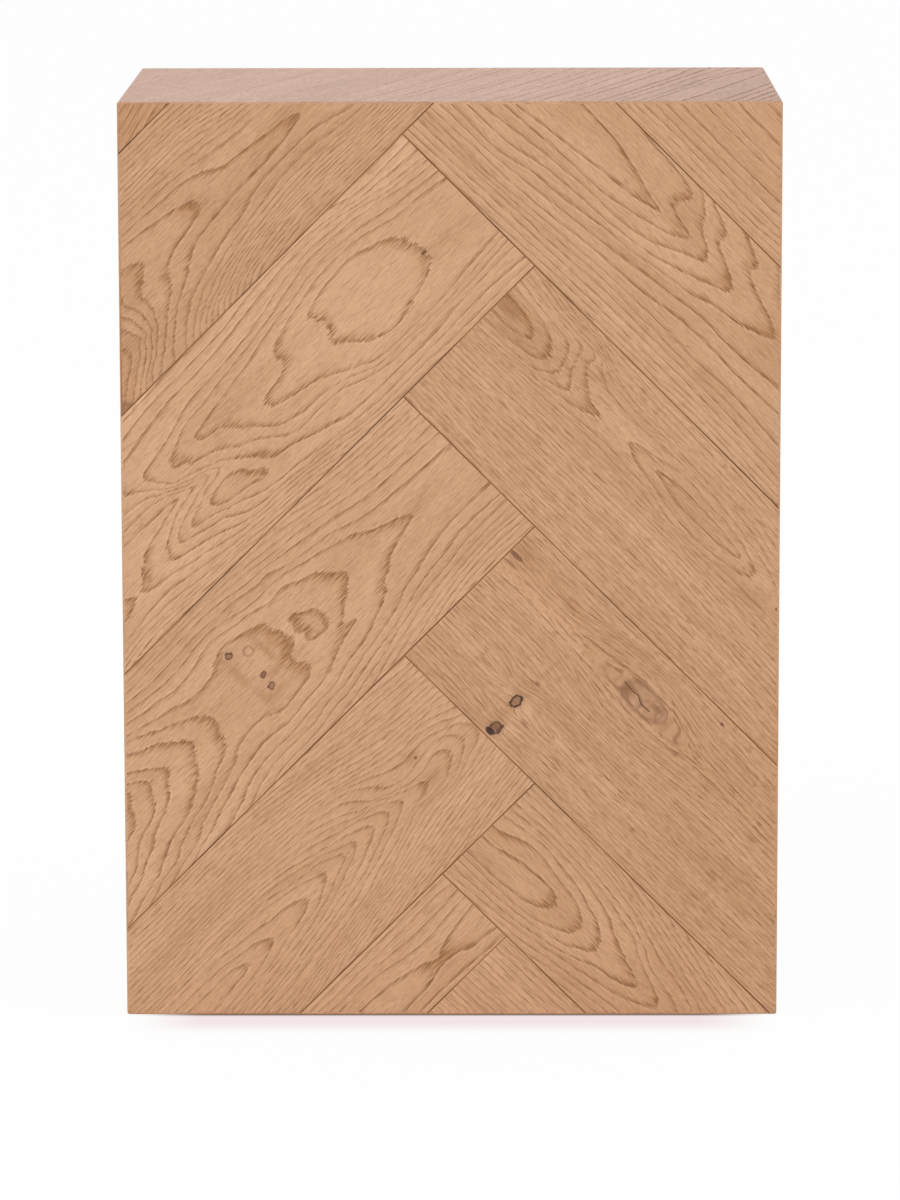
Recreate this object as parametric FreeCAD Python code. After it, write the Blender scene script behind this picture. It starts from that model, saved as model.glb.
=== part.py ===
"""Parquet block: an upright oak block with a herringbone parquet front.

Tongued and grooved oak staves lie in herringbone on a plywood backing panel. Plain
oak boards make the top, the two sides and the back, and all of these meet in mitres
at the block's edges. A base board closes the block underneath.

Frame, in millimetres: origin at the centre of the base, +X to the right as seen from
the front, +Y to the back, +Z up. The parquet looks along -Y.
"""

import FreeCAD
import Part

import math
import os

# Overall size of the block
BLOCK_WIDTH = 320.0
BLOCK_DEPTH = 205.0
BLOCK_HEIGHT = 450.0

# Oak cladding. Staves and boards share one thickness, so that their mitres meet.
CLADDING_THICKNESS = 15.0
EDGE_ROUND = 1.2

# Hidden boards
BACKING_THICKNESS = 12.0
BASE_THICKNESS = 15.0

# Stock width of the staves, and of the one that was sawn narrower to fit near the top
STAVE_WIDTH = 90.0
FITTED_STAVE_WIDTH = 83.0
STAVE_SLOPE = 45.0

# The zigzag where left and right staves meet. It is set out from one of its corners, left
# of the middle and below the top, down to its lowest corner, above the base. There the
# last stave on each side is sawn to the width that is left.
SPINE_CORNER_LEFT = 22.7
SPINE_CORNER_DROP = 142.8
SPINE_FOOT_RIGHT = 27.0
SPINE_FOOT_HEIGHT = 39.6

# Tongue and groove, measured from the parquet's face
GROOVE_SETBACK = 5.5
GROOVE_WIDTH = 4.0
GROOVE_DEPTH = 5.0
TONGUE_CLEARANCE = 0.15

# Small bevel along the seams of the parquet's face
SEAM_BEVEL = 0.35

FRONT = -BLOCK_DEPTH / 2
BACK = BLOCK_DEPTH / 2
HALF_WIDTH = BLOCK_WIDTH / 2
INNER_HALF_WIDTH = HALF_WIDTH - CLADDING_THICKNESS
INNER_FRONT = FRONT + CLADDING_THICKNESS
INNER_BACK = BACK - CLADDING_THICKNESS
INNER_TOP = BLOCK_HEIGHT - CLADDING_THICKNESS

# More than any stave's length or number above the spine corner; the block's edges cut off the rest
BEYOND = BLOCK_WIDTH + BLOCK_HEIGHT
STAVES_ABOVE = math.ceil(BEYOND / STAVE_WIDTH)

# Corners round each face of the block, as signs of X and Y and 0 or 1 for base or top
FACES = {
    "front": [(-1, -1, 0), (1, -1, 0), (1, -1, 1), (-1, -1, 1)],
    "back_board": [(1, 1, 0), (-1, 1, 0), (-1, 1, 1), (1, 1, 1)],
    "left_board": [(-1, 1, 0), (-1, -1, 0), (-1, -1, 1), (-1, 1, 1)],
    "right_board": [(1, -1, 0), (1, 1, 0), (1, 1, 1), (1, -1, 1)],
    "top_board": [(-1, -1, 1), (1, -1, 1), (1, 1, 1), (-1, 1, 1)],
}


def rounded_block():
    """Outer form of the whole block, with its edges eased."""
    corner = FreeCAD.Vector(-HALF_WIDTH, FRONT, 0.0)
    box = Part.makeBox(BLOCK_WIDTH, BLOCK_DEPTH, BLOCK_HEIGHT, corner)
    return box.makeFillet(EDGE_ROUND, box.Edges)


def corner_point(side, end, level, inset):
    """Corner of the block, set in from the sides, back, front and top but not from the base."""
    x = side * (HALF_WIDTH - inset)
    y = end * (BACK - inset)
    z = level * (BLOCK_HEIGHT - inset)
    return FreeCAD.Vector(x, y, z)


def flat_face(points):
    """Plane face through its corner points."""
    return Part.Face(Part.makePolygon(points + points[:1]))


def mitred_panel(face, block):
    """Cladding of one face of the block, mitred to its neighbours and square at the base."""
    outer = [corner_point(*corner, 0.0) for corner in FACES[face]]
    inner = [corner_point(*corner, CLADDING_THICKNESS) for corner in FACES[face]]
    faces = [flat_face(outer), flat_face(inner)]
    for here in range(len(outer)):
        there = here - 1
        faces.append(flat_face([outer[there], outer[here], inner[here], inner[there]]))
    return Part.Solid(Part.Shell(faces)).common(block)


class Lath:
    """A rectangle on the parquet's face, with its sides along the two runs of the staves.

    fall and rise are its low and high limits, measured from the middle of the base:
    fall runs down to the right and rise runs up to the right.
    """

    def __init__(self, fall, rise):
        self.fall = fall
        self.rise = rise

    def grown(self, fall_low, fall_high, rise_low, rise_high):
        """The same rectangle with each of its four sides moved outwards."""
        fall = (self.fall[0] - fall_low, self.fall[1] + fall_high)
        rise = (self.rise[0] - rise_low, self.rise[1] + rise_high)
        return Lath(fall, rise)

    def solid(self, near, far, bevel=0.0):
        """Prism over the rectangle between two depths behind the face, narrower by bevel at near."""
        (f0, f1), (r0, r1) = self.fall, self.rise
        wedge = Part.makeWedge(
            f0 + bevel, FRONT + near, r0 + bevel, r0, f0,
            f1 - bevel, FRONT + far, r1 - bevel, r1, f1,
        )
        wedge.rotate(FreeCAD.Vector(), FreeCAD.Vector(0, 1, 0), STAVE_SLOPE)
        return wedge


def stave(lath):
    """Whole stave before the block's edges cut it: bevelled face, groove and tongue.

    The grooves are in the low sides and the tongues on the high ones. Both lie in one
    layer of the stave, so that each tongue meets the groove of the next stave.
    """
    groove_end = GROOVE_SETBACK + GROOVE_WIDTH
    tongue_length = GROOVE_DEPTH - TONGUE_CLEARANCE
    inside = lath.grown(-GROOVE_DEPTH, 0.0, -GROOVE_DEPTH, 0.0)
    tongue = inside.grown(0.0, tongue_length, 0.0, tongue_length)
    layers = [
        lath.solid(0.0, SEAM_BEVEL, SEAM_BEVEL),
        lath.solid(SEAM_BEVEL, GROOVE_SETBACK),
        inside.solid(GROOVE_SETBACK, groove_end),
        lath.solid(groove_end, CLADDING_THICKNESS),
        tongue.solid(GROOVE_SETBACK + TONGUE_CLEARANCE, groove_end - TONGUE_CLEARANCE),
    ]
    return layers[0].multiFuse(layers[1:]).removeSplitter()


def along_staves(x, z):
    """Place of a point of the parquet's face along fall and rise."""
    slope = math.radians(STAVE_SLOPE)
    fall = x * math.cos(slope) - z * math.sin(slope)
    rise = x * math.sin(slope) + z * math.cos(slope)
    return fall, rise


def seam_distances(widths_above, span):
    """Distances down from the spine corner to every seam of one side, from the top to the spine's foot."""
    distances = [0.0]
    for width in widths_above:
        distances.insert(0, distances[0] - width)
    while distances[-1] + STAVE_WIDTH < span:
        distances.append(distances[-1] + STAVE_WIDTH)
    return distances + [span]


def herringbone():
    """The left and the right staves' rectangles, each from the top of the block to its foot."""
    corner_fall, corner_rise = along_staves(-SPINE_CORNER_LEFT, BLOCK_HEIGHT - SPINE_CORNER_DROP)
    foot_fall, foot_rise = along_staves(SPINE_FOOT_RIGHT, SPINE_FOOT_HEIGHT)
    left_above = [STAVE_WIDTH] * STAVES_ABOVE
    right_above = [STAVE_WIDTH, FITTED_STAVE_WIDTH] + [STAVE_WIDTH] * (STAVES_ABOVE - 2)
    falls = [corner_fall + d for d in seam_distances(left_above, foot_fall - corner_fall)]
    rises = [corner_rise - d for d in seam_distances(right_above, corner_rise - foot_rise)]
    left, right = [], []
    for number, (high_seam, low_seam) in enumerate(zip(falls, falls[1:])):
        end = rises[min(number, len(rises) - 1)]
        left.append(Lath((high_seam, low_seam), (-BEYOND, end)))
    for number, (high_seam, low_seam) in enumerate(zip(rises, rises[1:])):
        end = falls[min(number + 1, len(falls) - 1)]
        right.append(Lath((end, BEYOND), (low_seam, high_seam)))
    right.append(Lath((foot_fall, BEYOND), (-BEYOND, foot_rise)))
    return {"left": left, "right": right}


def parquet(block):
    """The staves of the front, each cut to the mitred outline of the face and counted from the top."""
    front = mitred_panel("front", block)
    staves = {}
    for side, laths in herringbone().items():
        cuts = [stave(lath).common(front) for lath in laths]
        on_face = [cut for cut in cuts if cut.Solids]
        for number, cut in enumerate(on_face, start=1):
            staves[f"{side}_stave_{number}"] = cut
    return staves


def backing_panel():
    """Plywood behind the staves, standing on the base board."""
    corner = FreeCAD.Vector(-INNER_HALF_WIDTH, INNER_FRONT, BASE_THICKNESS)
    return Part.makeBox(2 * INNER_HALF_WIDTH, BACKING_THICKNESS, INNER_TOP - BASE_THICKNESS, corner)


def base_board():
    """Board that closes the block underneath, flush with the cladding's lower edges."""
    corner = FreeCAD.Vector(-INNER_HALF_WIDTH, INNER_FRONT, 0.0)
    return Part.makeBox(2 * INNER_HALF_WIDTH, INNER_BACK - INNER_FRONT, BASE_THICKNESS, corner)


def main():
    """Build every piece and write each one to its own file."""
    block = rounded_block()
    pieces = parquet(block)
    for face in FACES:
        if face != "front":
            pieces[face] = mitred_panel(face, block)
    pieces["backing_panel"] = backing_panel()
    pieces["base_board"] = base_board()
    os.makedirs("parts", exist_ok=True)
    for name, shape in pieces.items():
        solid = shape.Solids[0]
        solid.exportStep(f"parts/{name}.step")
        print(name, len(shape.Solids), round(solid.Volume / 1000, 2), "cm3", solid.isValid())


main()
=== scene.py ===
"""Dresses the parquet block: oak staves laid in herringbone, plain oak boards and a pale studio.

Every stave and board keeps the outline of its solid. Its face is cut into a fine net of
triangles that carries the figure of the wood: the count of growth rings at each point, how
fast that count changes along and across the board, and the stains of knots. The finishes
turn the figure into ring lines, pores and fibres, and a node tree sinks it into the wood.

A place on a board is given in millimetres, s along the grain and t across it. Everything else
is in metres, in the frame of the solids: +X to the right, +Y to the back, +Z up.
"""

from __future__ import annotations

import logging
import math
from dataclasses import dataclass, field
from enum import Enum

import bmesh
import bpy
import numpy as np
from mathutils import Matrix, Vector
from mathutils.geometry import area_tri, delaunay_2d_cdt

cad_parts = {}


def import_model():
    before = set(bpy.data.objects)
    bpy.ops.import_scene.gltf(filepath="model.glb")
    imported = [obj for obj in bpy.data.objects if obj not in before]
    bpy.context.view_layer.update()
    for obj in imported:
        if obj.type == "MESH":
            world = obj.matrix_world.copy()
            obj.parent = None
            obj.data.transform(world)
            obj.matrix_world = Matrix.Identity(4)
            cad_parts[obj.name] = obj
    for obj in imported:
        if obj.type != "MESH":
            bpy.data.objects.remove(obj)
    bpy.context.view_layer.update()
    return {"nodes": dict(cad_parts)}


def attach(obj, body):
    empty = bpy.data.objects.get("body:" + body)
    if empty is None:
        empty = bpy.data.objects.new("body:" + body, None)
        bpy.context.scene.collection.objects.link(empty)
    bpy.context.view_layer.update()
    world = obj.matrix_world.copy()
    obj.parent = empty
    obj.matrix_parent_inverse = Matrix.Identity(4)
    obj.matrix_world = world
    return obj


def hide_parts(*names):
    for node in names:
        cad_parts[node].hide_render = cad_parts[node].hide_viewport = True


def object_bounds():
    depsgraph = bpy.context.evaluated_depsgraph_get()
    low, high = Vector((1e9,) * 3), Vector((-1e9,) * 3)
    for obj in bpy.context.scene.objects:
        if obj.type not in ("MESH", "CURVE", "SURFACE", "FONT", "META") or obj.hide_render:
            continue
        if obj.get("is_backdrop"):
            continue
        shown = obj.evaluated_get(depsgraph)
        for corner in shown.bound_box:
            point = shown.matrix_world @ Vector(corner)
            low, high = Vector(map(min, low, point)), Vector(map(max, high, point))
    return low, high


LOG = logging.getLogger("parquet_block")

MM = 0.001
BODY = "root"

# How far the grain of the top leans off the depth of the block, in degrees
TOP_GRAIN_SLANT = 16.0

Array = np.ndarray
Place = tuple[float, float]
Tone = tuple[float, float, float, float]
Piece = bpy.types.Object
Material = bpy.types.Material
Socket = bpy.types.NodeSocket


def tone(red: float, green: float, blue: float) -> Tone:
    """Linear colour of an sRGB colour.

    Args:
        red, green, blue: the colour's parts, from 0 to 255.

    Returns:
        The linear colour with full alpha.
    """
    parts = [part / 255 for part in (red, green, blue)]
    bent = [part / 12.92 if part <= 0.04045 else ((part + 0.055) / 1.055) ** 2.4 for part in parts]
    return bent[0], bent[1], bent[2], 1.0


def smooth_step(value: Array, low: float, high: float) -> Array:
    """Soft step.

    Args:
        value: numbers to step.
        low: value at which the step starts, with 0.
        high: value at which it ends, with 1.

    Returns:
        Numbers from 0 to 1.
    """
    share = np.clip((value - low) / (high - low), 0.0, 1.0)
    return share * share * (3.0 - 2.0 * share)


class Grain(Enum):
    """Direction of the grain on a face, as seen from outside the block."""

    RISING = "up to the right, on the left staves"
    FALLING = "down to the right, on the right staves"
    UPRIGHT = "straight up, on the sides and the back"
    INWARD = "away from the front, on the top"

    @property
    def along(self) -> Vector:
        """Direction of the grain in the frame of the solids."""
        slant = math.radians(TOP_GRAIN_SLANT)
        directions = {
            Grain.RISING: Vector((1, 0, 1)),
            Grain.FALLING: Vector((1, 0, -1)),
            Grain.UPRIGHT: Vector((0, 0, 1)),
            Grain.INWARD: Vector((math.sin(slant), math.cos(slant), 0)),
        }
        return directions[self].normalized()

    @property
    def turn(self) -> tuple[float, float, float]:
        """Rotation that brings the grain onto the X axis of a pattern."""
        along = self.along
        if self is Grain.INWARD:
            return 0.0, 0.0, -math.atan2(along.y, along.x)
        return 0.0, math.atan2(along.z, along.x), 0.0


class Corner(Enum):
    """Corner of a board's face from which its figure is placed, as ends of s and t."""

    SPINE_OF_RISING = (1, 1)
    SPINE_OF_FALLING = (-1, 1)
    START = (-1, -1)


@dataclass(frozen=True)
class Ripple:
    """Smooth seeded unevenness, summed from slanting waves.

    Attributes:
        seed: start of the random draws.
        length: wave length along the grain, in millimetres.
        width: wave length across it.
        waves: number of waves.
    """

    seed: int
    length: float
    width: float
    waves: int = 9

    def at(self, s: Array, t: Array) -> Array:
        """Height of the ripple.

        Args:
            s, t: places on the board.

        Returns:
            Heights, mostly between -1 and 1.
        """
        draw = np.random.default_rng(self.seed)
        total = np.zeros_like(s)
        for _ in range(self.waves):
            angle = draw.uniform(0.0, 2.0 * math.pi)
            pace = 2.0 * math.pi * draw.uniform(0.5, 1.5)
            phase = draw.uniform(0.0, 2.0 * math.pi)
            run = pace * math.cos(angle) / self.length
            cross = pace * math.sin(angle) / self.width
            total += np.sin(run * s + cross * t + phase)
        return total / math.sqrt(self.waves)


class Ring:
    """Line of one growth ring on a board: a smooth curve through a few places, read off one by one.

    A count between two whole numbers makes a guide, which shapes the rings beside it and isn't drawn.
    """

    STEP = 7.0

    def __init__(self, count: float, *points: Place) -> None:
        """Takes the ring's count and the places through which its line runs."""
        self.count = count
        self.points = np.array(points, float)

    def sampled(self) -> Array:
        """Follows the curve.

        Returns:
            Places along it, about a step apart.
        """
        gaps = np.hypot(*np.diff(self.points, axis=0).T)
        stations = np.append(0.0, np.cumsum(gaps))
        slopes = np.gradient(self.points, stations, axis=0)
        even = np.linspace(0.0, stations[-1], int(stations[-1] / self.STEP) + 2)
        here = np.clip(np.searchsorted(stations, even, "right") - 1, 0, len(gaps) - 1)
        gap = gaps[here][:, None]
        share = (even - stations[here])[:, None] / gap
        rest = 1.0 - share
        leave = gap * share * rest**2 * slopes[here]
        arrive = gap * share**2 * rest * slopes[here + 1]
        rise = share**2 * (3.0 - 2.0 * share)
        return self.points[here] + rise * (self.points[here + 1] - self.points[here]) + leave - arrive


class ThinPlate:
    """Smooth surface over a board that takes each ring's count along its line, as a bent thin plate would.

    Distances along the grain count less than those across it, because the rings are drawn out along it.
    """

    SCALE = np.array([0.5, 1.0])
    EASE = 0.6
    BATCH = 4000

    def __init__(self, rings: tuple[Ring, ...]) -> None:
        """Bends the plate to the rings."""
        lines = [ring.sampled() for ring in rings]
        counts = np.concatenate([np.full(len(line), ring.count) for line, ring in zip(lines, rings)])
        self.held = np.concatenate(lines) * self.SCALE
        size = len(counts)
        system = np.zeros((size + 3, size + 3))
        system[:size, :size] = self._bend(self.held)[0] + self.EASE * np.eye(size)
        system[:size, size] = 1.0
        system[:size, size + 1 :] = self.held
        system[size:, :size] = system[:size, size:].T
        solved = np.linalg.solve(system, np.append(counts, np.zeros(3)))
        self.weights, self.level, self.tilt = solved[:size], solved[size], solved[size + 1 :]

    def _bend(self, places: Array) -> tuple[Array, Array, Array]:
        """Bending of the plate at places by each held point, its slope and the offsets between them."""
        offsets = places[:, None, :] - self.held
        square = np.maximum((offsets**2).sum(axis=2), 1e-12)
        spread = np.log(square)
        return 0.5 * square * spread, spread + 1.0, offsets

    def at(self, s: Array, t: Array) -> Array:
        """Height and slopes of the plate.

        Args:
            s, t: places on the board.

        Returns:
            Rows of count, change along the grain and change across it, per millimetre.
        """
        places = np.column_stack([s, t]) * self.SCALE
        rows = []
        for start in range(0, len(places), self.BATCH):
            batch = places[start : start + self.BATCH]
            bend, slope, offsets = self._bend(batch)
            count = bend @ self.weights + self.level + batch @ self.tilt
            slopes = [(slope * offsets[:, :, part]) @ self.weights + self.tilt[part] for part in range(2)]
            rows.append(np.column_stack([count, *slopes]))
        return np.concatenate(rows) * np.append(1.0, self.SCALE)


@dataclass(frozen=True)
class Knot:
    """Knot or pin knot.

    Attributes:
        place: its middle.
        size: its half length and half width, in millimetres.
        dark: how dark its rim is, from 0 to 1.
        heart: how dark its middle is, as a share of its rim.
        rings: how many rings of its own it has.
        hollow: depth of its hole, in millimetres.
        crack: places along a crack in it.
    """

    place: Place
    size: Place
    dark: float = 0.8
    heart: float = 0.5
    rings: float = 0.0
    hollow: float = 0.0
    crack: tuple[Place, ...] = ()

    STEEP = 0.9
    SMALL = 2.0
    CRACK_WIDTH = 0.5
    RIM_RISES, RIM_FALLS = (0.5, 0.8), (0.9, 1.15)
    HEART_FALLS = (0.6, 0.9)
    HALO, HALO_FALLS = 0.2, (0.9, 2.0)

    def reach(self, s: Array, t: Array) -> Array:
        """Distance from the middle, as a multiple of the knot's size."""
        return np.hypot((s - self.place[0]) / self.size[0], (t - self.place[1]) / self.size[1])

    def field(self, s: Array, t: Array) -> Array:
        """Rows of the knot's own count of rings and its slopes."""
        count = self.rings * np.exp(-self.STEEP * self.reach(s, t) ** 2)
        run = -2.0 * self.STEEP * count * (s - self.place[0]) / self.size[0] ** 2
        cross = -2.0 * self.STEEP * count * (t - self.place[1]) / self.size[1] ** 2
        return np.column_stack([count, run, cross])

    def stain(self, s: Array, t: Array, ragged: Array) -> Array:
        """How dark the knot makes the wood.

        Args:
            s, t: places on the board.
            ragged: unevenness of its outline, in millimetres.

        Returns:
            Numbers from 0 to 1.
        """
        reach = self.reach(s, t) + ragged / max(*self.size, self.SMALL)
        rim = smooth_step(reach, *self.RIM_RISES) * (1.0 - smooth_step(reach, *self.RIM_FALLS))
        heart = self.heart * (1.0 - smooth_step(reach, *self.HEART_FALLS))
        halo = self.HALO * (1.0 - smooth_step(reach, *self.HALO_FALLS))
        return np.maximum(self.dark * np.maximum(np.maximum(rim, heart), halo), self.crack_line(s, t))

    def crack_line(self, s: Array, t: Array) -> Array:
        """How much a place lies in the crack, from 0 to 1."""
        inside = np.zeros_like(s)
        for (s_start, t_start), (s_end, t_end) in zip(self.crack, self.crack[1:]):
            run, rise = s_end - s_start, t_end - t_start
            share = ((s - s_start) * run + (t - t_start) * rise) / (run**2 + rise**2)
            share = np.clip(share, 0.0, 1.0)
            off = np.hypot(s - s_start - share * run, t - t_start - share * rise)
            inside = np.maximum(inside, 1.0 - smooth_step(off, 0.0, self.CRACK_WIDTH))
        return inside


@dataclass(frozen=True)
class Patch:
    """Soft-edged patch of another tone or of stronger ring lines.

    Attributes:
        place: its middle.
        size: its half length and half width, in millimetres.
        shade: lighter above 0, darker below.
        warmth: redder above 0, greyer below.
        bold: how much stronger the ring lines are.
    """

    place: Place
    size: Place
    shade: float = 0.0
    warmth: float = 0.0
    bold: float = 0.0

    FALLOFF = 0.7

    def weight(self, s: Array, t: Array) -> Array:
        """Strength of the patch, from 0 to 1."""
        along = (s - self.place[0]) / self.size[0]
        across = (t - self.place[1]) / self.size[1]
        return np.exp(-self.FALLOFF * (along**2 + across**2))


@dataclass(frozen=True)
class Figure:
    """Figure of one board: its rings, knots and patches.

    Attributes:
        corner: place on the board of the corner from which the figure is laid out.
        rings: its ring lines.
        knots: its knots.
        patches: its patches.
        shade, warmth: tone of the whole board, as on a patch.
        bold: strength of its ring lines.
        pores: strength of its pores.
        pitch: distance between rings that its fibres follow, or 0 where they run straight.
        seed: start of the random draws.
    """

    corner: Place
    rings: tuple[Ring, ...]
    knots: tuple[Knot, ...] = ()
    patches: tuple[Patch, ...] = ()
    shade: float = 0.0
    warmth: float = 0.0
    bold: float = 1.0
    pores: float = 1.0
    pitch: float = 0.0
    seed: int = 1

    APART = 7.3
    RAGGED, RAGGED_WAVES = 0.3, (4.0, 3.0)
    HOLE_FALLS = (0.3, 0.9)
    CRACK_DEPTH = 0.4

    def field(self, s: Array, t: Array) -> Array:
        """Count of rings with its slopes.

        Args:
            s, t: places on the board.

        Returns:
            Rows of count, change along the grain and change across it, per millimetre.
        """
        return ThinPlate(self.rings).at(s, t) + sum(knot.field(s, t) for knot in self.knots)

    def stain(self, s: Array, t: Array) -> Array:
        """Stains and tone.

        Args:
            s, t: places on the board.

        Returns:
            Rows of knot, from 0 to 1, shade and warmth.
        """
        ragged = self.RAGGED * Ripple(self.seed, *self.RAGGED_WAVES).at(s, t)
        knot = np.max([np.zeros_like(s)] + [spot.stain(s, t, ragged) for spot in self.knots], axis=0)
        shade = self.shade + sum(patch.shade * patch.weight(s, t) for patch in self.patches)
        warmth = self.warmth + sum(patch.warmth * patch.weight(s, t) for patch in self.patches)
        return np.column_stack([knot, np.broadcast_to(shade, s.shape), np.broadcast_to(warmth, s.shape)])

    def habit(self, s: Array, t: Array, count: Array) -> Array:
        """How fibres, ring lines and pores show.

        Args:
            s, t: places on the board.
            count: counts of rings there.

        Returns:
            Rows of place across the fibres, strength of ring lines and strength of pores.
        """
        across = count * self.pitch if self.pitch else t
        bold = self.bold + sum(patch.bold * patch.weight(s, t) for patch in self.patches)
        shifted = across + self.seed * self.APART
        return np.column_stack([shifted, np.broadcast_to(bold, s.shape), np.full_like(s, self.pores)])

    def hollow(self, s: Array, t: Array) -> Array:
        """Depth of holes and cracks below the face, in metres."""
        depth = np.zeros_like(s)
        for knot in self.knots:
            hole = knot.hollow * (1.0 - smooth_step(knot.reach(s, t), *self.HOLE_FALLS))
            depth = np.maximum(depth, np.maximum(hole, self.CRACK_DEPTH * knot.crack_line(s, t)))
        return depth * MM


class Wiring:
    """Short hand for adding nodes to a tree and linking them."""

    def __init__(self, tree: bpy.types.NodeTree) -> None:
        """Starts on a tree, which may already hold nodes."""
        self.tree = tree

    @classmethod
    def of_material(cls, name: str) -> tuple[Material, Wiring, bpy.types.NodeInputs]:
        """Starts a new material.

        Args:
            name: the material's name.

        Returns:
            The material, the wiring of its tree and the inputs of its shader.
        """
        material = bpy.data.materials.new(name)
        material.use_nodes = True
        tree = material.node_tree
        return material, cls(tree), tree.nodes["Principled BSDF"].inputs

    def add(self, kind: str, inputs: dict | None = None, **settings: object) -> bpy.types.Node:
        """Adds a node.

        Args:
            kind: the node's type.
            inputs: values or sockets for its inputs, by name or number.
            settings: its own properties.

        Returns:
            The node.
        """
        node = self.tree.nodes.new(kind)
        for name, value in settings.items():
            setattr(node, name, value)
        for key, value in (inputs or {}).items():
            if isinstance(value, Socket):
                self.link(value, node.inputs[key])
            else:
                node.inputs[key].default_value = value
        return node

    def link(self, source: Socket, target: Socket) -> None:
        """Links two sockets."""
        self.tree.links.new(source, target)

    def math(self, operation: str, *values: Socket | float, clamp: bool = False) -> Socket:
        """Result of a sum on numbers or sockets."""
        inputs = dict(enumerate(values))
        return self.add("ShaderNodeMath", inputs, operation=operation, use_clamp=clamp).outputs[0]

    def times(self, *values: Socket | float) -> Socket:
        """Product of two numbers or sockets."""
        return self.math("MULTIPLY", *values)

    def fit(self, value: Socket, source: Place, target: Place, soft: bool = False) -> Socket:
        """Maps a value from one range to another.

        Args:
            value: the value's socket.
            source: the range that it comes from.
            target: the range that it goes to, outside which it is held.
            soft: whether the ends are eased.

        Returns:
            The mapped value's socket.
        """
        kind = "SMOOTHSTEP" if soft else "LINEAR"
        inputs = {0: value, 1: source[0], 2: source[1], 3: target[0], 4: target[1]}
        return self.add("ShaderNodeMapRange", inputs, interpolation_type=kind).outputs[0]

    def blend(self, share: Socket | float, first: object, second: object, kind: str = "MIX") -> Socket:
        """Blends two colours, given as sockets or values, by a share."""
        node = self.add("ShaderNodeMix", data_type="RGBA", blend_type=kind, clamp_factor=True)
        for socket, value in zip((node.inputs[0], node.inputs[6], node.inputs[7]), (share, first, second)):
            if isinstance(value, Socket):
                self.link(value, socket)
            else:
                socket.default_value = value
        return node.outputs[2]

    def grain_noise(
        self, places: Socket, length: float, width: float, seed: float, detail: float = 0.0
    ) -> Socket:
        """Noise drawn out along the grain.

        Args:
            places: pattern coordinates in millimetres, with the grain along X.
            length: size of a spot along the grain.
            width: its size across the grain.
            seed: shift that sets this noise apart from others.
            detail: number of finer layers.

        Returns:
            The noise's value, about 0.5 on average.
        """
        scale = (1.0 / length, 1.0 / width, 1.0 / width)
        shrunk = self.add("ShaderNodeVectorMath", {0: places, 1: scale}, operation="MULTIPLY")
        moved = self.add("ShaderNodeVectorMath", {0: shrunk.outputs[0], 1: (seed,) * 3}, operation="ADD")
        inputs = {"Vector": moved.outputs[0], "Scale": 1.0, "Detail": detail}
        return self.add("ShaderNodeTexNoise", inputs).outputs[0]


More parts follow.
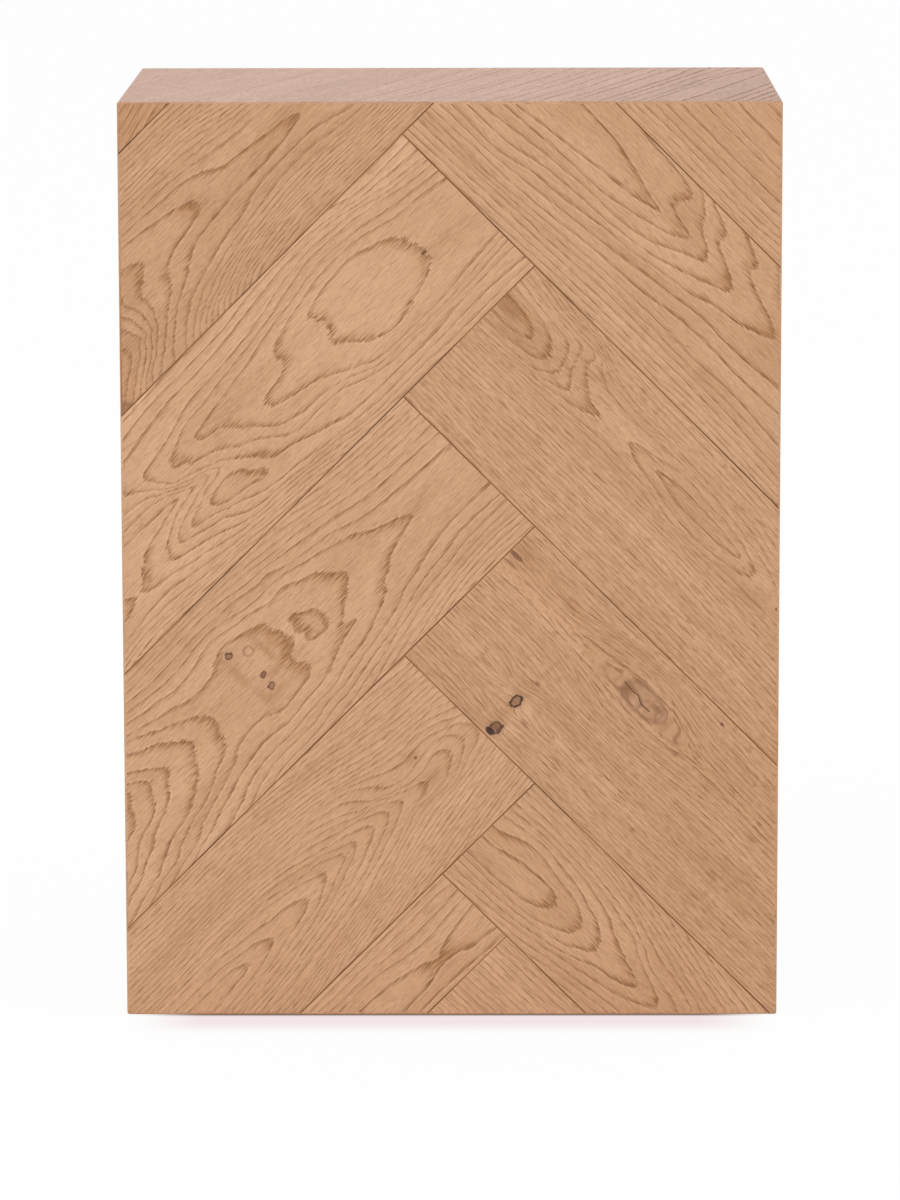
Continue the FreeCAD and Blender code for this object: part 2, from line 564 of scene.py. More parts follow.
@dataclass(frozen=True)
class OakFinish:
    """Matt oiled oak, whose ring lines follow the figure of each board.

    Attributes:
        name: the material's name.
        grain: direction of the grain.
        pale, deep: lightest and darkest tone of the wood between its ring lines.
        line: tone of the ring lines and pores.
        bark, heart: tones of a knot's rim and of its middle.
        lightness: place of plain wood between deep and pale.
        line_strength: how much ring lines show.
        band_strength: how much the darker band behind them shows, and the painted highlight beside them.
        pore_strength: how much pores show.
        feather: how far fibres drag a ring line along the grain, in millimetres.
        wander: how far a ring line strays from its course, in millimetres.
        roughness: roughness of the sanded face.
        gloss: strength of its reflections.
    """

    name: str
    grain: Grain
    pale: Tone = tone(230, 185, 148)
    deep: Tone = tone(160, 111, 65)
    line: Tone = tone(120, 74, 39)
    bark: Tone = tone(136, 92, 62)
    heart: Tone = tone(48, 32, 24)
    lightness: float = 0.54
    line_strength: float = 0.9
    band_strength: float = 0.7
    pore_strength: float = 0.6
    feather: float = 2.6
    wander: float = 0.6
    roughness: float = 0.5
    gloss: float = 0.4

    FLATTEST = 0.03
    BUMP = 0.15 * MM
    GREY, RED = (0.96, 1.0, 1.06, 1.0), (1.04, 0.98, 0.9, 1.0)

    ROUGHER, VESSEL_HEIGHT = 0.2, -0.8

    # Shares of a ring's spacing over which its line may be dragged and its band may reach
    DRAGGED, REACHED = 0.25, 0.45

    # Usual ranges of a noise: nearly whole, and round its middle
    WHOLE, MIDDLE = (0.2, 0.8), (0.3, 0.7)

    # Ring spacings in millimetres over which lines widen, dashes close, bands darken and the painted
    # highlight on their outer edges grows
    WIDENS, CLOSES, DARKENS, PALES = (1.5, 8.0), (2.5, 6.0), (3.0, 12.0), (1.5, 4.0)

    # Length and width of the spots of each noise in millimetres, its seed and its number of finer layers
    SHORT_PORES = (6.0, 0.36, 31.0)
    LONG_PORES = (12.0, 0.42, 37.0)
    FIBRES = (13.0, 0.5, 47.0, 2.0)
    FLECKS = (2.6, 0.25, 53.0)
    CLOUDS = (80.0, 14.0, 61.0, 1.0)
    DRAG = (12.0, 0.45, 3.0, 1.0)
    STRAY = (40.0, 4.0, 11.0)
    STRENGTH = (38.0, 7.0, 19.0)
    DASHES = (8.0, 0.5, 23.0)
    STREAKS = (7.0, 0.55, 29.0)

    def material(self) -> Material:
        """Builds the finish.

        Returns:
            Its material.
        """
        material, wires, shader = Wiring.of_material(self.name)
        habit = wires.add("ShaderNodeAttribute", attribute_name="habit").outputs["Vector"]
        across, bold, pored = wires.add("ShaderNodeSeparateXYZ", {0: habit}).outputs
        places = self._places(wires, across)
        line, band, count = self._ring_lines(wires, places)
        mark = wires.times(line, bold)
        broad = wires.times(band, bold)
        short = wires.grain_noise(places, *self.SHORT_PORES)
        long = wires.grain_noise(places, *self.LONG_PORES)
        vessels = wires.fit(wires.math("MAXIMUM", short, long), (0.62, 0.74), (0.0, 1.0))
        pores = wires.times(vessels, wires.fit(band, (0.0, 1.0), (0.5, 1.0)))
        pores = wires.times(pores, pored)
        fibre = wires.grain_noise(places, *self.FIBRES)
        wood = self._wood(wires, places, fibre, broad, count)
        wood = wires.blend(wires.times(mark, self.line_strength), wood, self.line)
        wood = wires.blend(wires.times(pores, self.pore_strength), wood, self.line)
        wires.link(self._knots(wires, wood, fibre), shader["Base Color"])
        open_grain = wires.math("MAXIMUM", mark, pores)
        rough = wires.fit(open_grain, (0.0, 1.0), (self.roughness, self.roughness + self.ROUGHER))
        wires.link(rough, shader["Roughness"])
        shader["Specular IOR Level"].default_value = self.gloss
        height = wires.math("MULTIPLY_ADD", vessels, self.VESSEL_HEIGHT, fibre)
        bump = wires.add("ShaderNodeBump", {"Height": height, "Strength": 0.4, "Distance": self.BUMP})
        wires.link(bump.outputs[0], shader["Normal"])
        return material

    def _places(self, wires: Wiring, across: Socket) -> Socket:
        """Places in millimetres along the grain, from object coordinates, and across the fibres."""
        source = wires.add("ShaderNodeTexCoord").outputs["Object"]
        mapping = {"Vector": source, "Rotation": self.grain.turn, "Scale": (1.0 / MM,) * 3}
        turned = wires.add("ShaderNodeMapping", mapping).outputs[0]
        along = wires.add("ShaderNodeSeparateXYZ", {0: turned}).outputs[0]
        return wires.add("ShaderNodeCombineXYZ", {0: along, 1: across}).outputs[0]

    def _ring_lines(self, wires: Wiring, places: Socket) -> tuple[Socket, Socket, Socket]:
        """Ring lines from the figure: crisp on their outer side, fading and streaky on their inner one, with
        a painted highlight along the outer side.

        Args:
            wires: the material's tree.
            places: pattern coordinates.

        Returns:
            The line itself, the streaky band behind it, which is below 0 under a painted highlight on its
            outer edge, and the count of rings.
        """
        figure = wires.add("ShaderNodeAttribute", attribute_name="figure").outputs["Vector"]
        ring, run, cross = wires.add("ShaderNodeSeparateXYZ", {0: figure}).outputs
        slope = wires.add("ShaderNodeVectorMath", {0: figure, 1: (0.0, 1.0, 1.0)}, operation="MULTIPLY")
        slope = wires.add("ShaderNodeVectorMath", {0: slope.outputs[0]}, operation="LENGTH").outputs["Value"]
        slope = wires.math("MAXIMUM", slope, self.FLATTEST)
        spacing = wires.math("DIVIDE", 1.0, slope)
        drag = wires.fit(wires.grain_noise(places, *self.DRAG), self.WHOLE, (-1.0, 1.0))
        pull = wires.math("MINIMUM", wires.times(spacing, self.DRAGGED), self.feather)
        count = wires.math("MULTIPLY_ADD", run, wires.times(drag, pull), ring)
        stray = wires.fit(wires.grain_noise(places, *self.STRAY), self.WHOLE, (-self.wander, self.wander))
        count = wires.math("MULTIPLY_ADD", cross, stray, count)
        behind = wires.times(wires.math("FRACT", count), spacing)
        ahead = wires.math("SUBTRACT", spacing, behind)
        crossing = wires.math("DIVIDE", wires.math("ABSOLUTE", run), slope)
        width = wires.fit(spacing, self.WIDENS, (0.5, 1.6))
        width = wires.times(width, wires.fit(crossing, (0.0, 0.8), (1.0, 1.7)))
        inner = wires.fit(wires.math("DIVIDE", behind, width), (0.0, 1.0), (1.0, 0.0), True)
        outer = wires.fit(ahead, (0.0, 0.4), (1.0, 0.0), True)
        each = {"W": wires.math("ROUND", count)}
        each = wires.add("ShaderNodeTexWhiteNoise", each, noise_dimensions="1D").outputs[0]
        strength = wires.fit(wires.grain_noise(places, *self.STRENGTH), self.MIDDLE, (0.6, 1.0))
        strength = wires.times(strength, wires.fit(each, (0.0, 1.0), (0.6, 1.0)))
        dashes = wires.fit(wires.grain_noise(places, *self.DASHES), (0.42, 0.6), (0.0, 1.0))
        dashes = wires.math("MAXIMUM", dashes, wires.fit(spacing, self.CLOSES, (0.05, 0.35)))
        line = wires.times(wires.math("MAXIMUM", inner, outer), strength)
        line = wires.times(line, dashes)
        streaks = wires.fit(wires.grain_noise(places, *self.STREAKS), (0.4, 0.6), (0.1, 1.0))
        reach = wires.fit(crossing, (0.1, 0.8), (2.4, 8.0))
        reach = wires.math("MINIMUM", reach, wires.times(spacing, self.REACHED))
        band = wires.fit(wires.math("DIVIDE", behind, reach), (0.0, 1.0), (1.0, 0.0), True)
        band = wires.times(band, wires.fit(spacing, self.DARKENS, (0.4, 1.0)))
        band = wires.times(band, streaks)
        # Painted highlight: a pale strip along the outer side of each line, where light would catch the
        # brushed relief.
        edge = wires.times(wires.fit(ahead, (0.3, 1.3), (0.3, 0.0)), strength)
        edge = wires.times(edge, wires.fit(spacing, self.PALES, (0.0, 1.0)))
        return line, wires.math("SUBTRACT", band, edge), count

    def _wood(self, wires: Wiring, places: Socket, fibre: Socket, broad: Socket, count: Socket) -> Socket:
        """Wood between the ring lines.

        Args:
            wires: the material's tree.
            places: pattern coordinates.
            fibre: fine fibres.
            broad: the darker band behind the ring lines, below 0 under the painted highlight beside them.
            count: the count of rings.

        Returns:
            The colour's socket.
        """
        stain = wires.add("ShaderNodeAttribute", attribute_name="stain").outputs["Vector"]
        _, shade, warmth = wires.add("ShaderNodeSeparateXYZ", {0: stain}).outputs
        each = {"W": wires.math("FLOOR", count)}
        layers = (
            (fibre, 0.55),
            (wires.grain_noise(places, *self.FLECKS), 0.4),
            (wires.grain_noise(places, *self.CLOUDS), 0.35),
            (wires.add("ShaderNodeTexWhiteNoise", each, noise_dimensions="1D").outputs[0], 0.08),
        )
        light = wires.math("ADD", shade, self.lightness)
        for layer, share in layers:
            light = wires.math("MULTIPLY_ADD", wires.math("SUBTRACT", layer, 0.5), share, light)
        # The band darkens the wood behind each ring line; the painted highlight lightens it beside the line.
        light = wires.math("MULTIPLY_ADD", broad, -self.band_strength, light, clamp=True)
        warm = wires.fit(warmth, (-1.0, 1.0), (0.0, 1.0))
        tint = wires.blend(warm, self.GREY, self.RED)
        return wires.blend(1.0, wires.blend(light, self.deep, self.pale), tint, "MULTIPLY")

    def _knots(self, wires: Wiring, wood: Socket, fibre: Socket) -> Socket:
        """Wood with its knots stained into it.

        Args:
            wires: the material's tree.
            wood: colour of the wood.
            fibre: fine fibres, which break up the stain.

        Returns:
            The colour's socket.
        """
        stain = wires.add("ShaderNodeAttribute", attribute_name="stain").outputs["Vector"]
        knot = wires.add("ShaderNodeSeparateXYZ", {0: stain}).outputs[0]
        patchy = wires.fit(fibre, self.MIDDLE, (0.8, 1.15))
        knot = wires.times(knot, patchy)
        wood = wires.blend(wires.fit(knot, (0.04, 0.6), (0.0, 1.0)), wood, self.bark)
        return wires.blend(wires.fit(knot, (0.55, 0.95), (0.0, 1.0)), wood, self.heart)


@dataclass(frozen=True)
class JointFinish:
    """Dark hairline of the seams between staves: partly painted shade of the narrow gap and partly the darker
    oil that gathers in it.

    Attributes:
        name: the material's name.
        dark, light: range of its tone.
    """

    name: str = "oak_joint"
    dark: Tone = tone(110, 70, 37)
    light: Tone = tone(176, 126, 80)

    SPOTS = {"Scale": 28.0, "Detail": 3.0}
    ROUGHNESS = 0.85

    def material(self) -> Material:
        """Builds the finish.

        Returns:
            Its material.
        """
        material, wires, shader = Wiring.of_material(self.name)
        source = wires.add("ShaderNodeTexCoord").outputs["Object"]
        noise = wires.add("ShaderNodeTexNoise", {"Vector": source, **self.SPOTS}).outputs[0]
        colour = wires.blend(wires.fit(noise, (0.3, 0.7), (0.0, 1.0)), self.dark, self.light)
        wires.link(colour, shader["Base Color"])
        shader["Roughness"].default_value = self.ROUGHNESS
        return material


@dataclass(frozen=True)
class PlywoodFinish:
    """Birch plywood of the hidden panels: plain veneer with plies along its edges.

    Attributes:
        name: the material's name.
        pale, deep: tones of the veneers.
        ply: thickness of a ply, in millimetres.
        grain: direction of the veneer's grain.
    """

    name: str = "birch_plywood"
    pale: Tone = tone(222, 194, 154)
    deep: Tone = tone(176, 140, 100)
    ply: float = 1.7
    grain: Grain = Grain.UPRIGHT

    STREAKS = (40.0, 1.2, 5.0, 3.0)
    BUMP = 0.1 * MM

    def material(self) -> Material:
        """Builds the finish.

        Returns:
            Its material.
        """
        material, wires, shader = Wiring.of_material(self.name)
        source = wires.add("ShaderNodeTexCoord").outputs["Object"]
        mapping = {"Vector": source, "Rotation": self.grain.turn, "Scale": (1.0 / MM,) * 3}
        places = wires.add("ShaderNodeMapping", mapping).outputs[0]
        _, depth, _ = wires.add("ShaderNodeSeparateXYZ", {0: places}).outputs
        plies = wires.math("PINGPONG", depth, self.ply)
        plies = wires.fit(plies, (0.0, self.ply), (0.0, 0.35))
        streak = wires.grain_noise(places, *self.STREAKS)
        light = wires.math("ADD", wires.fit(streak, (0.2, 0.8), (0.1, 0.75)), plies, clamp=True)
        wires.link(wires.blend(light, self.deep, self.pale), shader["Base Color"])
        rough = wires.fit(streak, (0.2, 0.8), (0.75, 0.6))
        wires.link(rough, shader["Roughness"])
        bump = wires.add("ShaderNodeBump", {"Height": streak, "Strength": 0.3, "Distance": self.BUMP})
        wires.link(bump.outputs[0], shader["Normal"])
        return material


@dataclass
class GrainRelief:
    """Node tree that sinks ring lines, cracks and holes into a face and gives it its finishes.

    Attributes:
        line_depth: depth of the ring lines, in metres.
        line_share: share of a ring over which its line slopes back to the face.
        narrow, wide: ring spacings, in millimetres, at which the relief starts and is whole.
    """

    line_depth: float = 0.1 * MM
    line_share: float = 0.4
    narrow: float = 2.5
    wide: float = 6.0
    tree: bpy.types.NodeTree = field(init=False)

    SIZES = ("Line Depth", "Line Share", "Narrow Ring", "Wide Ring")
    FLATTEST = 0.01

    def __post_init__(self) -> None:
        """Builds the tree once, for every board."""
        self.tree = bpy.data.node_groups.new("grain_relief", "GeometryNodeTree")
        face = self.tree.interface
        face.new_socket("Geometry", in_out="INPUT", socket_type="NodeSocketGeometry")
        for name in self.SIZES:
            face.new_socket(name, in_out="INPUT", socket_type="NodeSocketFloat")
        face.new_socket("Outward", in_out="INPUT", socket_type="NodeSocketVector")
        face.new_socket("Wood", in_out="INPUT", socket_type="NodeSocketMaterial")
        face.new_socket("Joint", in_out="INPUT", socket_type="NodeSocketMaterial")
        face.new_socket("Geometry", in_out="OUTPUT", socket_type="NodeSocketGeometry")
        wires = Wiring(self.tree)
        given = wires.add("NodeGroupInput").outputs
        sink = self._sink(wires, given)
        offset = wires.add("ShaderNodeVectorMath", {0: given["Outward"], "Scale": sink}, operation="SCALE")
        inputs = {"Geometry": given["Geometry"], "Offset": offset.outputs[0]}
        placed = wires.add("GeometryNodeSetPosition", inputs)
        whole = wires.add("GeometryNodeRealizeInstances", {"Geometry": placed.outputs[0]})
        wood = wires.add("GeometryNodeSetMaterial", {"Geometry": whole.outputs[0], "Material": given["Wood"]})
        seam = self._stored(wires, "seam", "BOOLEAN")
        inputs = {"Geometry": wood.outputs[0], "Selection": seam, "Material": given["Joint"]}
        joint = wires.add("GeometryNodeSetMaterial", inputs)
        wires.add("NodeGroupOutput", {"Geometry": joint.outputs[0]})

    @staticmethod
    def _stored(wires: Wiring, name: str, kind: str) -> Socket:
        """Socket of an attribute stored on the mesh."""
        return wires.add("GeometryNodeInputNamedAttribute", {"Name": name}, data_type=kind).outputs[0]

    def _sink(self, wires: Wiring, given: bpy.types.NodeOutputs) -> Socket:
        """Offset along the outward direction, negative into the wood.

        Args:
            wires: the tree.
            given: the tree's named inputs.

        Returns:
            The offset's socket.
        """
        figure = self._stored(wires, "figure", "FLOAT_VECTOR")
        ring, run, cross = wires.add("ShaderNodeSeparateXYZ", {0: figure}).outputs
        slope = wires.math("SQRT", wires.math("MULTIPLY_ADD", run, run, wires.times(cross, cross)))
        spacing = wires.math("DIVIDE", 1.0, wires.math("MAXIMUM", slope, self.FLATTEST))
        ramp = {"Value": spacing, "From Min": given["Narrow Ring"], "From Max": given["Wide Ring"]}
        broad = wires.add("ShaderNodeMapRange", ramp, interpolation_type="SMOOTHSTEP").outputs[0]
        part = wires.math("FRACT", ring)
        ramp = {"Value": part, "From Max": given["Line Share"], "To Min": 1.0, "To Max": 0.0}
        line = wires.add("ShaderNodeMapRange", ramp, interpolation_type="SMOOTHSTEP").outputs[0]
        depth = wires.times(wires.times(line, broad), given["Line Depth"])
        depth = wires.times(depth, self._stored(wires, "cover", "FLOAT"))
        depth = wires.math("ADD", depth, self._stored(wires, "hollow", "FLOAT"))
        return wires.times(depth, -1.0)

    def carve(
        self, piece: Piece, outward: Vector, wood: Material, joint: Material
    ) -> None:
        """Runs the tree on a board and leaves a plain mesh.

        Args:
            piece: the board, with its figure stored on its mesh.
            outward: direction in which its face looks.
            wood: finish of the board.
            joint: finish of its seams.
        """
        values = dict(zip(self.SIZES, (self.line_depth, self.line_share, self.narrow, self.wide)))
        values.update({"Outward": outward[:], "Wood": wood, "Joint": joint})
        modifier = piece.modifiers.new("grain_relief", "NODES")
        modifier.node_group = self.tree
        for item in self.tree.interface.items_tree:
            if item.in_out == "INPUT" and item.name in values:
                modifier[item.identifier] = values[item.name]
        graph = bpy.context.evaluated_depsgraph_get()
        source = piece.evaluated_get(graph)
        carved = bpy.data.meshes.new_from_object(source, preserve_all_data_layers=True, depsgraph=graph)
        piece.modifiers.remove(modifier)
        plain = piece.data
        piece.data = carved
        bpy.data.meshes.remove(plain)
        carved.name = piece.name


@dataclass
class Board:
    """One stave or board of the block, from its solid to its finished mesh.

    Attributes:
        node: name of its solid.
        outward: direction in which its face looks.
        grain: direction of its grain.
        corner: corner from which its figure is laid out.
        figure: its figure.
        net: size of the net on its face, in millimetres.
        slot: name of its slot, which is not used.
    """

    node: str
    outward: Vector
    grain: Grain
    corner: Corner
    figure: Figure
    net: float
    slot: str

    MERGED = 1e-6
    FACING = 0.999
    SAME = 1e-9
    INSET = 0.6
    STRAIGHT = math.radians(0.5)
    SHARP = math.radians(30.0)
    KNOT_NET = 0.35
    KNOT_ROOM = 1.5
    SLIVER = 0.01
    RIM = 3.0
    MISS = 0.02 * MM
    HALFWAY = math.sqrt(0.5)
    LEAN = 0.02

    def build(
        self, solid: Piece, relief: GrainRelief, wood: Material, joint: Material
    ) -> Piece:
        """Makes the board.

        Args:
            solid: its solid, which stays as it is.
            relief: the tree that carves it.
            wood: finish of the board.
            joint: finish of its seams.

        Returns:
            The finished piece, which rides on the block's body and stands for the solid.
        """
        mesh = self._netted(solid)
        piece = bpy.data.objects.new(f"oak_{self.node}", mesh)
        bpy.context.scene.collection.objects.link(piece)
        relief.carve(piece, self.outward, wood, joint)
        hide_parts(self.node)
        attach(piece, BODY)
        return piece

    def _across(self) -> Vector:
        """Direction of t on the face."""
        return self.grain.along.cross(self.outward)

    def _netted(self, solid: Piece) -> bpy.types.Mesh:
        """Copy of the solid's mesh with its face cut into a net that holds the figure.

        Args:
            solid: the board's solid.

        Returns:
            The new mesh.
        """
        shell = bmesh.new()
        shell.from_mesh(solid.data)
        bmesh.ops.remove_doubles(shell, verts=shell.verts, dist=self.MERGED)
        limits = {"angle_limit": self.STRAIGHT, "use_dissolve_boundaries": False}
        bmesh.ops.dissolve_limit(shell, verts=shell.verts, edges=shell.edges, **limits)
        facing = [face for face in shell.faces if face.normal.dot(self.outward) > self.FACING]
        face = max(facing, key=lambda side: side.calc_area())
        level = face.verts[0].co.dot(self.outward)
        outline = np.array([self._flat_place(vert.co) for vert in face.verts])
        origin = self._origin(outline)
        outline -= origin
        for edge in list(face.edges):
            self._divide(edge)
        self._fill(shell, face, outline, origin)
        mesh = bpy.data.meshes.new(self.node)
        shell.to_mesh(mesh)
        shell.free()
        self._store(mesh, level, outline, origin)
        mesh.shade_smooth()
        mesh.set_sharp_from_angle(angle=self.SHARP)
        return mesh

    def _divide(self, edge: bmesh.types.BMEdge) -> None:
        """Divides an edge of the face into steps of the net's size."""
        start = edge.verts[0]
        steps = max(1, round(edge.calc_length() / (self.net * MM)))
        for left in range(steps, 1, -1):
            _, start = bmesh.utils.edge_split(edge, start, 1.0 / left)

    def _flat_place(self, point: Vector) -> Place:
        """Place of a point along and across the grain, in millimetres from the frame's origin."""
        return point.dot(self.grain.along) / MM, point.dot(self._across()) / MM

    def _origin(self, outline: Array) -> Array:
        """Where s and t are zero, from the face's corner and the figure's.

        Args:
            outline: corners of the face.

        Returns:
            The origin, in the outline's own places.
        """
        low, high = outline.min(axis=0), outline.max(axis=0)
        found = np.where(np.array(self.corner.value) > 0, high, low)
        return found - np.array(self.figure.corner)

    def _lattice(self, outline: Array, size: float, low: Array, high: Array) -> Array:
        """Places of an even lattice inside the outline.

        Args:
            outline: corners of the face.
            size: distance between places.
            low, high: corners of the lattice.

        Returns:
            Rows of s and t.
        """
        rows = np.arange(low[1], high[1], size * math.sqrt(0.75))
        columns = np.arange(low[0], high[0], size)
        s, t = np.meshgrid(columns, rows)
        s[1::2] += size / 2
        places = np.column_stack([s.ravel(), t.ravel()])
        return places[self._depth(places, outline) > self.INSET * size]

    @staticmethod
    def _depth(places: Array, outline: Array) -> Array:
        """Distance of places from a convex outline, positive inside it."""
        following = np.roll(outline, -1, axis=0)
        ways = following - outline
        area = (outline[:, 0] * following[:, 1] - following[:, 0] * outline[:, 1]).sum()
        ways *= np.sign(area) / np.hypot(ways[:, 0], ways[:, 1])[:, None]
        depth = np.full(len(places), np.inf)
        for point, way in zip(outline, ways):
            off = places - point
            np.minimum(depth, way[0] * off[:, 1] - way[1] * off[:, 0], out=depth)
        return depth

    def _fill(
        self, shell: bmesh.types.BMesh, face: bmesh.types.BMFace, outline: Array, origin: Array
    ) -> None:
        """Puts the net in the place of the face.

        Args:
            shell: the board's mesh.
            face: its face, with divided edges.
            outline: the face's corners in places of the figure.
            origin: origin of those places.
        """
        inner = self._lattice(outline, self.net, outline.min(axis=0), outline.max(axis=0))
        for knot in self.figure.knots:
            room = np.array(knot.size) + self.KNOT_ROOM
            middle = np.array(knot.place)
            near = np.abs((inner - middle) / (room + self.KNOT_NET)).max(axis=1) < 1.0
            spots = self._lattice(outline, self.KNOT_NET, middle - room, middle + room)
            inner = np.concatenate([inner[~near], spots])
        rim = np.array([self._flat_place(vert.co) for vert in face.verts]) - origin
        places = [Vector(place) for place in np.concatenate([rim, inner])]
        border = [list(range(len(rim)))]
        flat, _, triangles, *_ = delaunay_2d_cdt(places, [], border, 1, self.SAME, False)
        level = face.verts[0].co.dot(self.outward)
        verts = list(face.verts)
        for place in flat[len(rim) :]:
            along = self.grain.along * (place.x + origin[0])
            aside = self._across() * (place.y + origin[1])
            verts.append(shell.verts.new((along + aside) * MM + self.outward * level))
        bmesh.ops.delete(shell, geom=[face], context="FACES_ONLY")
        for triangle in triangles:
            if area_tri(*(flat[number] for number in triangle)) > self.SLIVER:
                shell.faces.new([verts[number] for number in reversed(triangle)])
        shell.normal_update()

    def _store(self, mesh: bpy.types.Mesh, level: float, outline: Array, origin: Array) -> None:
        """Stores the figure on the mesh.

        Args:
            mesh: the board's mesh.
            level: height of its face along the outward direction.
            outline: corners of the face.
            origin: origin of the figure's places.
        """
        points = np.empty(len(mesh.vertices) * 3, np.float32)
        mesh.vertices.foreach_get("co", points)
        points = points.reshape(-1, 3).astype(float)
        s = points @ np.array(self.grain.along) / MM - origin[0]
        t = points @ np.array(self._across()) / MM - origin[1]
        on_face = np.abs(points @ np.array(self.outward) - level) < self.MISS
        depth = self._depth(np.column_stack([s, t]), outline)
        cover = smooth_step(depth, 0.0, self.RIM) * on_face
        figure = self.figure.field(s, t)
        habit = self.figure.habit(s, t, figure[:, 0])
        habit[:, 1] *= on_face
        self._write(mesh, "figure", "FLOAT_VECTOR", figure)
        self._write(mesh, "habit", "FLOAT_VECTOR", habit)
        self._write(mesh, "stain", "FLOAT_VECTOR", self.figure.stain(s, t))
        self._write(mesh, "cover", "FLOAT", cover)
        self._write(mesh, "hollow", "FLOAT", self.figure.hollow(s, t) * cover)
        seam = mesh.attributes.new("seam", "BOOLEAN", "FACE")
        seam.data.foreach_set("value", [self._is_seam(face.normal) for face in mesh.polygons])

    def _is_seam(self, normal: Vector) -> bool:
        """Whether a face is the bevel of a seam, which leans halfway over along or across the grain."""
        leans = (abs(normal.dot(self.grain.along)), abs(normal.dot(self._across())))
        tilts = (normal.dot(self.outward), max(leans))
        return all(abs(tilt - self.HALFWAY) < self.LEAN for tilt in tilts)

    @staticmethod
    def _write(mesh: bpy.types.Mesh, name: str, kind: str, values: Array) -> None:
        """Writes values to a new attribute of the mesh's points."""
        part = "vector" if kind == "FLOAT_VECTOR" else "value"
        layer = mesh.attributes.new(name, kind, "POINT")
        layer.data.foreach_set(part, np.ascontiguousarray(values, np.float32).ravel())


def left_stave_1() -> Figure:
    """Left stave 1: corner piece at the top left, with straight rings."""
    rings = (
        Ring(0, (10, 98), (40, 90.5), (70, 83)),
        Ring(-5, (10, 81), (40, 73.5), (70, 66)),
    )
    return Figure((58, 90), rings, shade=-0.13, warmth=0.4, pitch=3.4, seed=11)


def left_stave_2() -> Figure:
    """Left stave 2: rings that turn round the corner of a knot and run out into long arches."""
    rings = (
        Ring(5, (46, 64), (50, 71), (36, 83)),
        Ring(4, (53, 59), (59, 68.5), (44, 82), (36, 88)),
        Ring(3, (59, 55), (62, 60), (57, 76), (49, 82), (41, 88)),
        Ring(2, (66, 49), (65, 53), (68, 62.5), (58, 79), (50, 84), (44, 89)),
        Ring(1, (74, 40), (79, 41), (85, 47), (80, 51), (73, 58), (73.5, 62), (69, 71), (50, 87)),
        Ring(0, (82, 32.5), (105, 35.7), (118, 38.8), (126, 44.5), (121, 48), (104, 51.5), (91, 57.5),
            (89, 61.5), (78, 70.5), (57, 87.5)),
        Ring(-1, (87, 28.7), (105, 30.5), (136, 34.2), (146, 39.8), (153, 41), (172, 43.5), (190, 48),
            (180, 51.5), (170, 52.5), (120, 55.4), (112, 56.7), (94, 66.3), (81, 73), (62, 90)),
        Ring(-2, (90, 25.7), (130, 27.8), (160, 32.8), (172, 33.2), (184, 34.5)),
        Ring(-2, (206, 63.5), (192, 59), (172, 58), (148, 60), (132, 64), (122, 65.2), (101, 71),
            (94, 73), (78, 83), (71, 90)),
        Ring(-4, (93, 20.7), (150, 23.8), (168, 27.5)),
        Ring(-4, (215, 70.5), (160, 67.8), (150, 69), (120, 73), (88, 83.5), (80, 90)),
        Ring(-8, (100, 12.5), (150, 14.5), (165, 18)),
        Ring(-8, (225, 77.5), (150, 76), (115, 81), (102, 86)),
        Ring(-12, (108, 4), (130, 4.3), (152, 5.5)),
        Ring(-13, (235, 86.5), (145, 85.5), (125, 88)),
    )
    return Figure(
        (238, 90),
        rings,
        knots=(Knot((24, 91), (9, 7), dark=0.45, heart=0.9),),
        patches=(
            Patch((122, 44), (7, 5), shade=-0.2),
            Patch((178, 47), (16, 5), shade=-0.12),
            Patch((60, 72), (16, 16), shade=-0.12, warmth=-0.3),
            Patch((30, 84), (14, 10), shade=-0.12, warmth=0.6),
        ),
        shade=-0.045,
        seed=23,
    )


